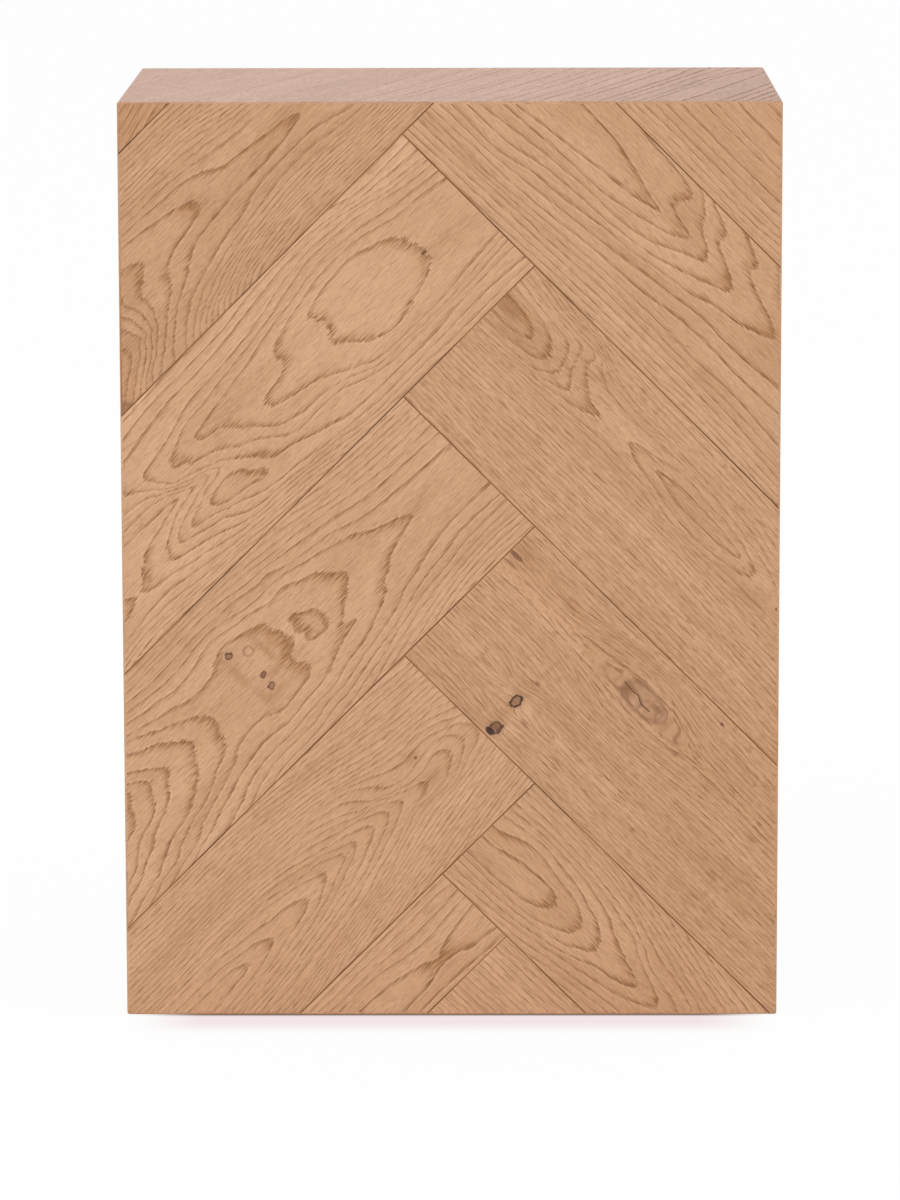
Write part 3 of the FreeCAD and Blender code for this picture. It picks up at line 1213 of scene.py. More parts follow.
def left_stave_3() -> Figure:
    """Left stave 3: a round island, broad arches and a nest of hairpins."""
    rings = (
        Ring(0.5, (222, 44), (250, 44)),
        Ring(-0.4, (214, 62.5), (224, 66), (240, 67), (256, 65.3), (267, 60)),
        Ring(-0.5, (277, 48), (300, 48)),
        Ring(0, (205, 30.5), (210, 28), (230, 24.8), (237, 24.3), (252, 27.5), (258, 29.5), (267, 43),
            (267, 53), (263, 55.5), (243, 62), (236, 63.5), (217, 59), (212, 54), (204, 45.5),
            (207, 42), (209, 37), (205, 30.5)),
        Ring(-0.5, (178, 46), (195, 44)),
        Ring(-1, (300, 29.8), (278, 26.5), (268, 25.5), (262, 23.5), (195, 25.5), (186, 28.3),
            (180, 31), (181, 35), (180, 39), (172, 41.5), (160, 46), (162, 49), (168, 50.7),
            (186, 55.7), (218, 69.2), (235, 69.8), (262, 69.3), (270, 68.2), (300, 66.5)),
        Ring(-2, (300, 24.8), (275, 21.5), (262, 18.7), (235, 15.8), (227, 15.3), (202, 20),
            (188, 21.5), (172, 24.5), (145, 28.5), (130, 31.5), (124, 34), (139, 40.3), (142, 44),
            (151, 51), (154, 55), (165, 60.5), (187, 62.4), (203, 67), (210, 70.2), (235, 72.4),
            (300, 69.8)),
        Ring(-3, (300, 20), (280, 17.5), (265, 14), (238, 11.5), (222, 11), (215, 12.3), (188, 17.5),
            (142, 23.3), (120, 26.5), (113, 29.5), (108, 32), (111, 35), (113, 38), (121, 43.5),
            (128, 45), (137, 51.5), (143, 53.5), (156, 63), (163, 66), (175, 66.1), (197, 68.3),
            (203, 71), (254, 74.2), (300, 73)),
        Ring(-4, (255, 9.6), (222, 7.6), (190, 13.5), (145, 18.2), (133, 18.5), (127, 20.5),
            (112, 24.5), (98, 27), (92, 29), (94, 33), (101, 41), (114, 45.5), (128, 51.5), (140, 62),
            (143, 65), (160, 70), (180, 77), (190, 78.3), (243, 79.2), (260, 77.8), (300, 76.3)),
        Ring(-4, (107, 62), (110, 59.5), (122, 56.7), (132, 62.5), (138, 69.5), (133, 70.5), (126, 68),
            (111, 65), (107, 62)),
        Ring(-3.6, (118, 61.5), (126, 63)),
        Ring(-5, (93, 16), (122, 12), (128, 11), (140, 10.8), (180, 8.5), (190, 7), (222, 5),
            (250, 6.5), (260, 9), (300, 15.5)),
        Ring(-5, (78, 28), (84, 31), (103, 44.5), (117, 48.5), (121, 51.5), (117, 54), (110, 55),
            (97, 60), (92, 62), (105, 66), (136, 76.5), (150, 78), (205, 83.3), (250, 83.4),
            (268, 82.7), (300, 84.2)),
        Ring(-6, (97, 9.3), (110, 7), (150, 5.9), (172, 5), (188, 3), (250, 4), (265, 7.5), (300, 10)),
        Ring(-6, (70, 35), (88, 38), (103, 45.8), (115, 50), (96, 56), (90, 57.5), (86, 61), (82, 64),
            (88, 66), (110, 72.5), (116, 76), (140, 79.5), (170, 82.7), (190, 85.5), (235, 87),
            (300, 88)),
        Ring(-7, (105, 2.5), (130, 1.3), (165, 0.4)),
        Ring(-7, (65, 41), (85, 41.5), (101, 46.7), (106, 49), (92, 52.5), (75, 63), (73, 66), (85, 71),
            (100, 74.3), (106, 77), (150, 82.5), (190, 88)),
        Ring(-8, (60, 46), (95, 48.3), (78, 52.5), (70, 54), (54, 69.5), (68, 72.5), (82, 75.7),
            (90, 76.8), (97, 79), (130, 82.7), (150, 84.5)),
        Ring(-8.6, (54, 50.5), (75, 49.3)),
        Ring(-9, (26, 80), (70, 77.8), (78, 79.5), (150, 86.5)),
        Ring(-10, (22, 84), (35, 82), (100, 85), (150, 88.5)),
        Ring(-12, (17, 88.5), (30, 86.5), (100, 88.5)),
    )
    return Figure(
        (300, 90),
        rings,
        knots=(Knot((267, 48), (1.6, 0.8), dark=0.8, heart=0.9),),
        patches=(
            Patch((142, 36), (18, 6), shade=-0.15),
            Patch((160, 83), (15, 4), shade=-0.15),
            Patch((278, 50), (12, 2), shade=-0.12),
        ),
        shade=0.07,
        seed=37,
    )


def left_stave_4() -> Figure:
    """Left stave 4: wide arches with a cluster of pin knots."""
    rings = (
        Ring(9, (47, 60.5), (57, 57), (65, 42)),
        Ring(8, (30, 77), (42, 73), (53, 64), (71, 57), (73, 53.5), (77.5, 46.5), (67, 38.5)),
        Ring(7, (24, 83), (30, 80.5), (38, 79), (50, 73), (56, 70.5), (61, 67), (73, 62), (78, 60),
            (83, 53.5), (89, 48.5), (83, 42.5), (73, 35.5)),
        Ring(6, (20, 90), (50, 81), (67, 74), (82, 70.5), (92, 64.5), (100, 58), (101, 54), (107, 48.5),
            (101, 41.5), (77, 28)),
        Ring(5, (40, 88.5), (47, 86), (55, 84.5), (74, 76.5), (97, 70.5), (103, 67), (115, 62),
            (121, 50), (122.5, 46), (120, 42.5), (98, 31), (91, 27), (81, 24)),
        Ring(4.6, (132, 46), (138, 52)),
        Ring(4, (84, 21.5), (108, 27.8), (113, 28.7), (118, 31), (133, 31.5), (138, 30.3), (142, 27.5),
            (152, 24.3), (160, 26), (167, 27.8), (172, 30), (173, 34), (178, 43.5), (182, 43),
            (188, 37.3), (193.5, 42), (197, 49), (193, 55.5), (181, 46.3), (172, 50.5), (169, 53),
            (174, 58), (174.5, 61), (157, 67), (150, 68.2), (140, 63.7), (123, 65.2), (113, 69.7),
            (97, 75), (83, 79), (77, 82.5), (55, 88.5)),
        Ring(4.3, (190, 44), (192, 50)),
        Ring(4.5, (150, 42), (162, 46)),
        Ring(3, (88, 18), (103, 20.5), (110, 20.7), (116, 22), (132, 21.7), (147, 18.8), (167, 21.7),
            (174, 22.5), (180, 25), (194, 25), (200, 28), (207, 30), (216, 38), (220, 42), (216, 46),
            (203, 55), (200, 57), (207, 60), (190, 65.5), (180, 70), (158, 73), (150, 74.3),
            (132, 72.2), (110, 76.2), (88, 83), (65, 90)),
        Ring(2, (93, 14.5), (125, 17.3), (150, 14.7), (180, 19.5), (190, 19.5), (212, 24.3),
            (220, 25.5), (227, 28), (235, 30.5), (240, 33.5), (260, 42), (265, 44), (258, 46),
            (253, 48.3), (241, 51), (239, 53.5), (233, 56.5), (228.5, 59), (229, 61), (225, 63),
            (195, 72.5), (187, 73.5), (180, 76), (160, 77.5), (150, 78.7), (112, 82), (105, 85),
            (90, 89.5)),
        Ring(1.55, (285, 46), (300, 46)),
        Ring(1, (96, 10.5), (115, 12.3), (150, 10.8), (167, 12.5), (174, 12.8), (180, 15), (193, 15.5),
            (200, 17.5), (217, 20.7), (225, 21.3), (244, 27), (262, 30), (300, 32.3)),
        Ring(1, (300, 60.5), (255, 62.5), (243, 66), (237, 67), (225, 71), (195, 77.3), (178, 80.5),
            (168, 80), (160, 82), (122, 84.7), (105, 89.8)),
        Ring(0, (98, 7.5), (140, 7.6), (150, 7.4), (185, 10.5), (193, 11), (200, 12.7), (240, 18.8),
            (250, 21), (300, 24.5)),
        Ring(0, (300, 67), (270, 67), (262, 68.5), (243, 71.2), (227, 75), (188, 82.3), (178, 84.2),
            (168, 84.5), (158, 86), (130, 88)),
        Ring(-1, (101, 5.8), (160, 5), (205, 9.5), (220, 11), (245, 15.5), (275, 18.5), (300, 19)),
        Ring(-1, (300, 72), (270, 72), (258, 73.5), (218, 79.5), (205, 83), (180, 88)),
        Ring(-3, (105, 1.2), (150, 0.5), (225, 6), (240, 8.5), (300, 12)),
        Ring(-3, (300, 78.7), (285, 77.7), (240, 82), (210, 88)),
        Ring(-6, (240, 0.5), (270, 3), (300, 4.5)),
        Ring(-6, (300, 86.5), (260, 86.5), (245, 89)),
    )
    return Figure(
        (300, 90),
        rings,
        knots=(
            Knot((149.5, 30), (2.0, 1.7), dark=0.85, heart=0.5, rings=0.8, hollow=0.4),
            Knot((155, 48.3), (1.8, 1.3), dark=0.85, heart=0.7, hollow=0.4),
            Knot((154, 55), (1.9, 1.7), dark=0.8, heart=0.5, rings=0.8, hollow=0.4),
            Knot((158, 35), (2.9, 2.7), dark=0.35, heart=0.0),
        ),
        patches=(
            Patch((158, 35), (2.2, 2.2), shade=0.15),
            Patch((146, 40), (2.2, 7), shade=-0.28),
            Patch((164.5, 41), (1.6, 7), shade=-0.3),
            Patch((160, 51), (4, 1.6), shade=-0.25),
            Patch((168, 30), (6, 1.6), shade=-0.22),
            Patch((172, 47), (3.5, 6), shade=-0.22),
            Patch((153, 59.5), (7, 1.6), shade=-0.22),
            Patch((147, 56), (2, 4), shade=-0.2),
            Patch((171, 60), (4, 3), shade=-0.15),
            Patch((75, 46), (9, 8), shade=-0.1),
            Patch((217, 40), (7, 5), shade=-0.1),
            Patch((268, 43.5), (13, 3), shade=-0.14),
        ),
        shade=0.03,
        seed=41,
    )


def left_stave_5() -> Figure:
    """Left stave 5: narrow arches, one behind the other."""
    rings = (
        Ring(9.6, (100, 55), (118, 54.5)),
        Ring(9, (95, 50), (118, 50.7), (128, 51), (136, 54), (132, 57), (125, 57.7), (110, 59.8)),
        Ring(8, (92, 46.3), (128, 47.5), (135, 48.7), (149, 50.5), (153, 53), (148, 58.5), (140, 60.3),
            (110, 64)),
        Ring(7, (90, 42), (120, 42.2), (132, 42.7), (138, 44), (153, 45.2), (158, 46.7), (173, 47.8),
            (178, 49.5), (180, 52), (168, 57.8), (148, 62), (115, 66.3)),
        Ring(6, (88, 40), (135, 39.5), (168, 41.3), (175, 43), (196, 50), (182, 58.3), (160, 62),
            (118, 68.2)),
        Ring(5, (120, 37.8), (170, 39), (186, 42.3), (203, 45.5), (210, 50), (198, 55.5), (155, 66),
            (120, 70)),
        Ring(4, (86, 35.5), (140, 35.5), (168, 35.8), (197, 41), (212, 46), (218, 49.5), (212, 53.3),
            (196, 59.5), (155, 68.5), (120, 72.3)),
        Ring(3, (150, 32.5), (165, 33), (207, 41), (227, 48), (229.5, 50.5), (224, 54), (178, 67)),
        Ring(2, (84, 31), (178, 32), (200, 35), (220, 40.5), (235, 46.5), (240, 50), (234, 54),
            (226, 57.5), (165, 71.5), (130, 76)),
        Ring(1, (178, 29.3), (213, 34.5), (228, 40.5), (243, 46.5), (248, 51), (241, 55), (210, 66)),
        Ring(0, (86, 26.5), (185, 27.5), (200, 28.8), (222, 34.5), (228, 38), (258, 49.3), (264, 52),
            (245, 58.5), (235, 62), (205, 70.5), (145, 81)),
        Ring(-1, (205, 26), (228, 31.5), (239, 40.3), (256, 46.5), (266, 46.3), (281, 46.5), (282, 50),
            (271, 58.3), (252, 58.7), (228, 66.5)),
        Ring(-2, (215, 24.5), (230, 28), (243, 35), (254, 43.3), (266, 42.5), (276, 40.5), (290, 46),
            (291, 51), (285, 56), (275, 60), (252, 61.5), (240, 65)),
        Ring(-4, (93, 17.5), (190, 19), (220, 22), (260, 32), (284, 34), (294, 38)),
        Ring(-4, (300, 59), (285, 62), (250, 67.5), (235, 71), (150, 87.5)),
        Ring(-8, (103, 8), (200, 10.5), (235, 16), (260, 21), (300, 24.5)),
        Ring(-9, (300, 71), (250, 79), (185, 90.5)),
        Ring(-12, (110, -1), (200, 1.5), (270, 11), (300, 13.5)),
        Ring(-14, (300, 81.5), (270, 86), (245, 90)),
    )
    return Figure(
        (300, 90),
        rings,
        knots=(Knot((268, 40), (0.9, 0.7), dark=0.7, heart=1.0),),
        patches=(Patch((266, 52.5), (6, 2), shade=-0.2), Patch((267, 39), (4, 2.5), shade=-0.2)),
        shade=0.03,
        bold=0.85,
        seed=53,
    )


def left_stave_6() -> Figure:
    """Left stave 6: long shallow rings at the foot."""
    rings = (
        Ring(-4, (203, 2.7), (250, 2.5), (300, 1.8)),
        Ring(-3, (208, 6.2), (275, 5.7), (290, 5.3), (300, 6.3)),
        Ring(-2, (210, 9.8), (250, 10.3), (262, 11.7), (300, 11)),
        Ring(-1, (213, 13.3), (232, 13), (277, 17.7), (285, 16.7), (300, 15.8)),
        Ring(0, (219, 20), (235, 20.8), (264, 26.5), (269, 28.8), (273, 26.3), (282, 24), (300, 21.3)),
        Ring(0.7, (232, 28), (250, 29)),
        Ring(0.05, (268, 30.5), (272, 30.5)),
        Ring(0.6, (288, 29.5), (300, 29.5)),
        Ring(0, (238, 36), (247, 35.3), (257, 35.5), (265, 33.3), (280, 34.7), (285, 36.5), (293, 37),
            (300, 38.5)),
        Ring(-1, (246, 42), (260, 42), (300, 43.5)),
    )
    return Figure(
        (300, 44.3),
        rings,
        patches=(Patch((270, 30), (9, 3), shade=-0.22),),
        shade=0.07,
        seed=67,
    )


def right_stave_1() -> Figure:
    """Right stave 1: corner piece at the top right, with straight rings."""
    rings = (
        Ring(0, (190, 39), (215, 39.5), (240, 39.5)),
        Ring(-1, (180, 48.5), (200, 49.5), (240, 50)),
        Ring(-2, (170, 56.5), (195, 57.5), (240, 57.5)),
        Ring(-3, (170, 60.7), (200, 61), (240, 60.8)),
        Ring(-4, (165, 68.7), (185, 69.5), (240, 68.5)),
        Ring(-5, (160, 74), (240, 74)),
        Ring(-6, (155, 77.6), (200, 78), (240, 78)),
        Ring(-8, (150, 84.3), (240, 84.7)),
        Ring(-10, (150, 89), (240, 89.5)),
    )
    return Figure((151, 90), rings, shade=-0.02, bold=0.9, seed=71)


def right_stave_2() -> Figure:
    """Right stave 2: arches with broad streaky tips."""
    rings = (
        Ring(6.8, (40, 21.5), (60, 21), (80, 21.5)),
        Ring(6, (45, 11.3), (75, 13), (108, 21), (113, 22.3), (102, 25.3), (80, 28.5), (30, 34.7)),
        Ring(5.5, (80, 6), (98, 8)),
        Ring(5, (92, 1.5), (113, 3.3), (119, 5), (121, 8.5), (117, 11.5), (116, 13.7), (120, 17),
            (133, 21.5), (127, 26.3), (118, 29), (97, 34), (60, 36.7), (27, 39)),
        Ring(4, (146, 25.5), (131, 31), (125, 34.2), (75, 40.3), (28, 45), (16, 47)),
        Ring(3, (131, 2), (143, 6), (147, 9), (143, 12), (152, 16.3), (162, 22), (166, 25), (155, 30.5),
            (120, 41), (63, 46.2), (38, 50.7), (11, 51.3)),
        Ring(2, (154, 1.5), (165, 7), (168, 10), (166, 12.5), (172, 15.5), (186, 20.5), (197, 26),
            (182, 32.5), (175, 34.8), (166, 36.2), (160, 38), (130, 43), (120, 45.3), (97, 48),
            (68, 51.8), (58, 52.6), (40, 55.7), (6, 56.5)),
        Ring(1, (185, 9), (200, 20), (215, 31)),
        Ring(1, (218, 42.3), (175, 44.8), (165, 44.3), (150, 46.5), (60, 57.8), (40, 60), (0, 61.3)),
        Ring(0, (225, 51.5), (200, 52.7), (172, 51.8), (128, 56.5), (97, 59), (68, 62), (0, 65)),
        Ring(-1, (238, 62.3), (200, 60.3), (185, 61.3), (150, 61), (110, 62), (48, 67.2), (0, 67.8)),
        Ring(-3, (245, 70.5), (210, 69), (150, 68.5), (120, 68.3), (90, 70), (0, 73.7)),
        Ring(-5, (252, 77), (215, 75.8), (160, 75.7), (0, 80.3)),
        Ring(-7, (258, 83), (215, 81), (130, 82), (90, 84)),
    )
    return Figure(
        (0, 83),
        rings,
        patches=(
            Patch((46, 21), (9, 3.5), shade=-0.12),
            Patch((72, 5), (18, 4), shade=-0.12),
            Patch((108, 22.5), (9, 4), shade=-0.12),
            Patch((117, 7), (7, 4), shade=-0.12),
            Patch((128, 21), (8, 5), shade=-0.12),
            Patch((160, 24), (8, 5), shade=-0.15),
            Patch((192, 26), (8, 5), shade=-0.15),
        ),
        shade=-0.02,
        seed=83,
    )


def right_stave_3() -> Figure:
    """Right stave 3: a smoky knot at the spine, a long eye and fine pores."""
    rings = (
        Ring(5, (-4, 19), (14, 20.5), (22, 24), (24, 27), (16, 30), (-4, 31)),
        Ring(4, (20, 16), (29, 19), (35, 28), (31, 32), (20, 34), (0, 36)),
        Ring(3, (37, 15), (41, 18), (43, 23), (45, 28), (37, 35.3), (22, 37.3), (0, 38.7)),
        Ring(2, (44, 12), (52, 28.5), (55, 31), (45, 35.7), (20, 39.3)),
        Ring(1, (48, 9), (58, 23), (67, 28.5), (74, 30.3), (70, 32.3), (20, 41)),
        Ring(0.7, (83, 30.5), (86, 30.5)),
        Ring(1, (93, 29.7), (96, 27.3), (110, 24), (117, 22.5), (140, 22.3), (167, 25), (177, 28),
            (183, 32), (178, 36), (168, 38), (127, 38.3), (120, 36.6), (97, 32.3), (93, 29.7)),
        Ring(2, (112, 28.5), (128, 26.3), (140, 26.8), (155, 27.3), (172, 30.5), (165, 33.2),
            (150, 34.3), (117, 30.7), (112, 28.5)),
        Ring(2.6, (135, 30.3), (155, 30.8)),
        Ring(0, (55, 10), (66, 17), (73, 18.2), (113, 17.8), (180, 24), (205, 32)),
        Ring(0, (40, 41), (90, 38), (100, 38.7), (112, 38.7), (132, 42), (150, 42.8), (170, 41.5),
            (210, 42.5)),
        Ring(-2, (30, 3), (50, 6), (65, 10.5), (85, 13), (110, 12.5), (165, 15), (185, 19)),
        Ring(-5, (70, 2), (100, 4), (140, 5), (165, 7)),
        Ring(-3, (0, 48), (60, 47), (170, 48.5), (215, 50.5)),
        Ring(-8, (0, 60), (120, 58.5), (230, 63)),
        Ring(-14, (0, 73), (60, 75.5), (120, 74.5), (200, 76), (245, 79)),
        Ring(-20, (0, 87), (100, 89), (255, 92)),
    )
    return Figure(
        (0, 90),
        rings,
        knots=(
            Knot((2, 22.5), (10, 4.5), dark=0.2, heart=0.9),
            Knot((202, 36), (0.9, 0.8), dark=0.8, heart=1.0),
        ),
        patches=(
            Patch((4, 20.5), (9, 1.6), shade=-0.35, warmth=0.6),
            Patch((5, 24.5), (8, 1.8), shade=-0.3, warmth=0.6),
            Patch((22, 27), (24, 8), shade=-0.15, warmth=-0.2),
            Patch((135, 29.5), (16, 4), shade=-0.12, warmth=-0.3),
            Patch((140, 30), (30, 6), shade=-0.06),
            Patch((192, 41), (9, 3), shade=-0.15),
        ),
        shade=-0.02,
        bold=0.8,
        pores=1.5,
        seed=97,
    )


def right_stave_4() -> Figure:
    """Right stave 4: straight grain that parts round a large knot and two pin knots."""
    crack = ((85, 23.6), (90.5, 24.3), (94.5, 23.8), (98.5, 25.9), (104, 25.7))
    rings = (
        Ring(2, (0, 4), (60, 4.3), (98, 3.3), (140, 5), (180, 5)),
        Ring(4, (0, 9), (50, 9.2), (98, 6.8), (150, 11), (185, 12)),
        Ring(6, (0, 14.5), (45, 15), (65, 11.5), (98, 9.3), (140, 15.5), (190, 17)),
        Ring(9, (0, 21.5), (45, 22), (65, 20), (80, 17.5), (98, 16.5), (114, 17.5), (128, 20.5),
            (195, 24)),
        Ring(9.5, (0, 24.8), (35, 24), (55, 26), (75, 24.5), (122, 25.5), (160, 26), (200, 27)),
        Ring(10, (0, 28.8), (38, 29.3), (65, 30.5), (80, 32), (98, 33), (116, 32.5), (130, 30.5),
            (200, 30)),
        Ring(13, (0, 35.5), (45, 36), (98, 42), (118, 41), (150, 38), (205, 38)),
        Ring(17, (0, 45), (45, 45.5), (65, 48), (98, 50), (130, 49), (210, 48)),
        Ring(23, (0, 60), (35, 60.5), (50, 63), (60, 60.5), (80, 60), (130, 61.5), (225, 62)),
        Ring(26, (0, 67.5), (40, 68), (50, 66), (75, 68.5), (130, 69.5), (235, 70)),
        Ring(29, (0, 75), (40, 75.5), (52, 77), (65, 76), (130, 77), (240, 77)),
        Ring(34, (0, 87.5), (100, 88.5), (250, 88.5)),
    )
    return Figure(
        (0, 90),
        rings,
        knots=(
            Knot((99, 24), (14.5, 7.2), dark=0.34, heart=0.65),
            Knot((93, 26.5), (7, 4), dark=0.4, heart=0.5),
            Knot((110, 23.5), (3, 4.5), dark=0.44, heart=0.3),
            Knot((95, 24.6), (9, 2.5), dark=0.0, crack=crack),
            Knot((54.3, 68), (2.6, 3.6), dark=1.0, heart=0.45, rings=0.8, hollow=0.4),
            Knot((56.6, 84.6), (3.0, 3.6), dark=0.85, heart=0.7, rings=0.8),
            Knot((55.8, 87.4), (2.4, 1.6), dark=1.0, heart=0.95, hollow=0.3),
            Knot((58.4, 83), (0.9, 2.4), dark=0.85, heart=0.95),
            Knot((55.5, 54.5), (1.4, 0.9), dark=0.5, heart=0.9),
            Knot((133.5, 5), (1.1, 0.8), dark=0.7, heart=0.9),
            Knot((166.5, 15), (1.1, 0.8), dark=0.35, heart=0.8),
            Knot((3, 17), (4.5, 1.2), dark=0.6, heart=1.0),
        ),
        patches=(
            Patch((55, 47), (0.9, 7), shade=-0.15),
            Patch((76, 23), (17, 10), shade=-0.18, warmth=-0.3),
            Patch((119, 24), (10, 7), shade=-0.1, warmth=-0.2),
            Patch((92, 28.5), (5, 0.9), shade=0.3),
            Patch((100, 29), (3, 1.2), shade=0.3),
            Patch((111.5, 24), (0.9, 3), shade=0.3),
            Patch((150, 28), (45, 9), shade=-0.12),
            Patch((63, 75), (3.5, 12), shade=0.14),
            Patch((54, 76), (2.5, 3), shade=-0.2),
            Patch((30, 22), (30, 8), warmth=0.3),
            Patch((40, 15.5), (9, 1.2), shade=-0.3),
            Patch((6, 15), (7, 4), shade=-0.2),
        ),
        shade=-0.04,
        bold=0.7,
        pores=1.7,
        pitch=2.5,
        seed=101,
    )


def right_stave_5() -> Figure:
    """Right stave 5: broad arches round a pale middle."""
    rings = (
        Ring(5.5, (18, 39.5), (32, 38)),
        Ring(5, (-5, 37.3), (10, 36.2), (20, 33), (27, 32.6), (47, 33.5), (50.5, 36.5), (48, 40.3),
            (38, 46), (28, 47.2), (-5, 47.7)),
        Ring(4, (-5, 29.5), (5, 29), (15, 25), (30, 23.2), (35, 24.3), (52, 27), (58, 28.5), (67, 37.5),
            (66, 40.7), (62, 43.3), (42, 50), (30, 50.7), (-5, 51)),
        Ring(3, (-5, 22), (27, 19.5), (35, 20.3), (52, 22), (64, 26), (70, 27.7), (80, 37.5),
            (78, 41.5), (73, 44.5), (47, 51.6), (-5, 54.3)),
        Ring(2, (-5, 17.8), (30, 15.9), (74, 22.7), (80, 25.7), (104, 35), (108, 36.7), (104, 39.3),
            (99, 42), (86, 44.7), (68, 50.8), (20, 57.7), (-5, 58.3)),
        Ring(1, (-5, 13.3), (12, 12.8), (22, 12), (32, 12.8), (45, 13), (80, 18.7), (86, 20),
            (103, 27.5), (118, 33.5), (122, 36.7), (119, 40), (107, 46), (78, 52.3), (30, 60), (0, 62)),
        Ring(0, (-5, 10), (20, 9), (35, 10), (90, 18), (105, 24.5), (127, 30), (133, 33)),
        Ring(0, (110, 52.5), (90, 55), (50, 61)),
        Ring(-1, (-5, 6.5), (15, 5.7), (80, 11.3), (107, 18.7), (130, 24), (138, 27)),
        Ring(-3, (0, 0.5), (30, 0.8), (90, 9), (142, 21)),
        Ring(-5, (90, 3.5), (110, 8), (152, 15.5)),
        Ring(-7, (110, 2), (130, 6), (155, 10)),
        Ring(-2, (112, 59.5), (90, 62), (75, 64)),
    )
    return Figure(
        (0, 64),
        rings,
        patches=(Patch((27, 38), (15, 6), shade=0.1), Patch((12, 45), (10, 3), shade=-0.12, warmth=-0.3)),
        shade=-0.02,
        seed=113,
    )


def right_stave_6() -> Figure:
    """Right stave 6: corner piece at the foot, with fine straight grain."""
    rings = (
        Ring(0, (0, 0), (60, -1)),
        Ring(12, (0, 36), (60, 34)),
        Ring(18, (0, 54), (60, 52)),
    )
    return Figure((0, 55.6), rings, shade=0.045, bold=0.8, pores=1.4, pitch=3.0, seed=127)


def arches(axis: float, foot: float, step: float, number: int) -> tuple[Ring, ...]:
    """Nested arches of a flat-sawn board.

    Args:
        axis: place of their tips across the board.
        foot: place of the innermost tip along it.
        step: mean distance from one tip to the next, below 0 where the arches look down.
        number: how many arches there are.

    Returns:
        The arches and a straight ring on each side of them.
    """
    opening, drops = 1.35, (12.0, 60.0, 180.0, 420.0)
    length, aside, rings_aside = 450, 95.0, 18.5
    uneven, turn = 0.08, 2.4
    sides = (axis - aside, axis + aside)
    rings = [Ring(-number - rings_aside, (0, side), (length, side)) for side in sides]
    for count in range(number):
        tip = foot + step * (count + uneven * math.sin(turn * count))
        arms = [(tip - math.copysign(drop, step), opening * math.sqrt(drop)) for drop in drops]
        near = [(s, axis - off) for s, off in reversed(arms)]
        far = [(s, axis + off) for s, off in arms]
        rings.append(Ring(-count, *near, (tip, axis), *far))
    return tuple(rings)


def top_figure() -> Figure:
    """Top board: straight grain, plain on the left and with strong rings in clusters at its right end."""
    places = (0, 30, 58, 90, 118, 147, 163, 175, 181, 196, 201, 213, 224, 231, 240, 248, 257, 263, 275,
              281, 286, 294, 298, 314, 331, 337, 343, 349, 354, 359, 368)
    between = [(first + second) / 2 for first, second in zip(places, places[1:])]
    halves = [(count + 0.5, place) for count, place in enumerate(between)]
    counted = [*enumerate(places), *halves]
    middle, end, bow = 115, 230, 1.5
    rings = tuple(
        Ring(count, (0, place), (middle, place + bow), (end, place)) for count, place in counted
    )
    patches = (
        Patch((110, 345), (400, 32), shade=-0.17, bold=1.8),
        Patch((110, 285), (400, 28), shade=-0.08, bold=1.3),
        Patch((110, 205), (400, 45), bold=0.6),
        Patch((225, 190), (22, 100), warmth=0.6),
    )
    return Figure((0, 0), rings, patches=patches, bold=0.15, pores=1.3, seed=131)


@dataclass
class Parquet:
    """Herringbone of oak staves on the front of the block.

    Attributes:
        net: size of the net on the staves' faces, in millimetres.
    """

    net: float = 1.0

    SLOT = "oak_stave"
    OUTWARD = Vector((0, -1, 0))
    LEFT = (left_stave_1, left_stave_2, left_stave_3, left_stave_4, left_stave_5, left_stave_6)
    RIGHT = (right_stave_1, right_stave_2, right_stave_3, right_stave_4, right_stave_5, right_stave_6)

    def build(self, nodes: dict[str, Piece], relief: GrainRelief) -> list[Piece]:
        """Makes every stave.

        Args:
            nodes: the block's solids by name.
            relief: the tree that carves them.

        Returns:
            The finished staves.
        """
        joint = JointFinish().material()
        sides = (
            ("left", Grain.RISING, Corner.SPINE_OF_RISING, self.LEFT),
            ("right", Grain.FALLING, Corner.SPINE_OF_FALLING, self.RIGHT),
        )
        staves = []
        for side, grain, corner, figures in sides:
            wood = OakFinish(f"oak_{side}_staves", grain).material()
            for number, figure in enumerate(figures, start=1):
                name = f"{side}_stave_{number}"
                board = Board(name, self.OUTWARD, grain, corner, figure(), self.net, self.SLOT)
                staves.append(board.build(nodes[name], relief, wood, joint))
        return staves


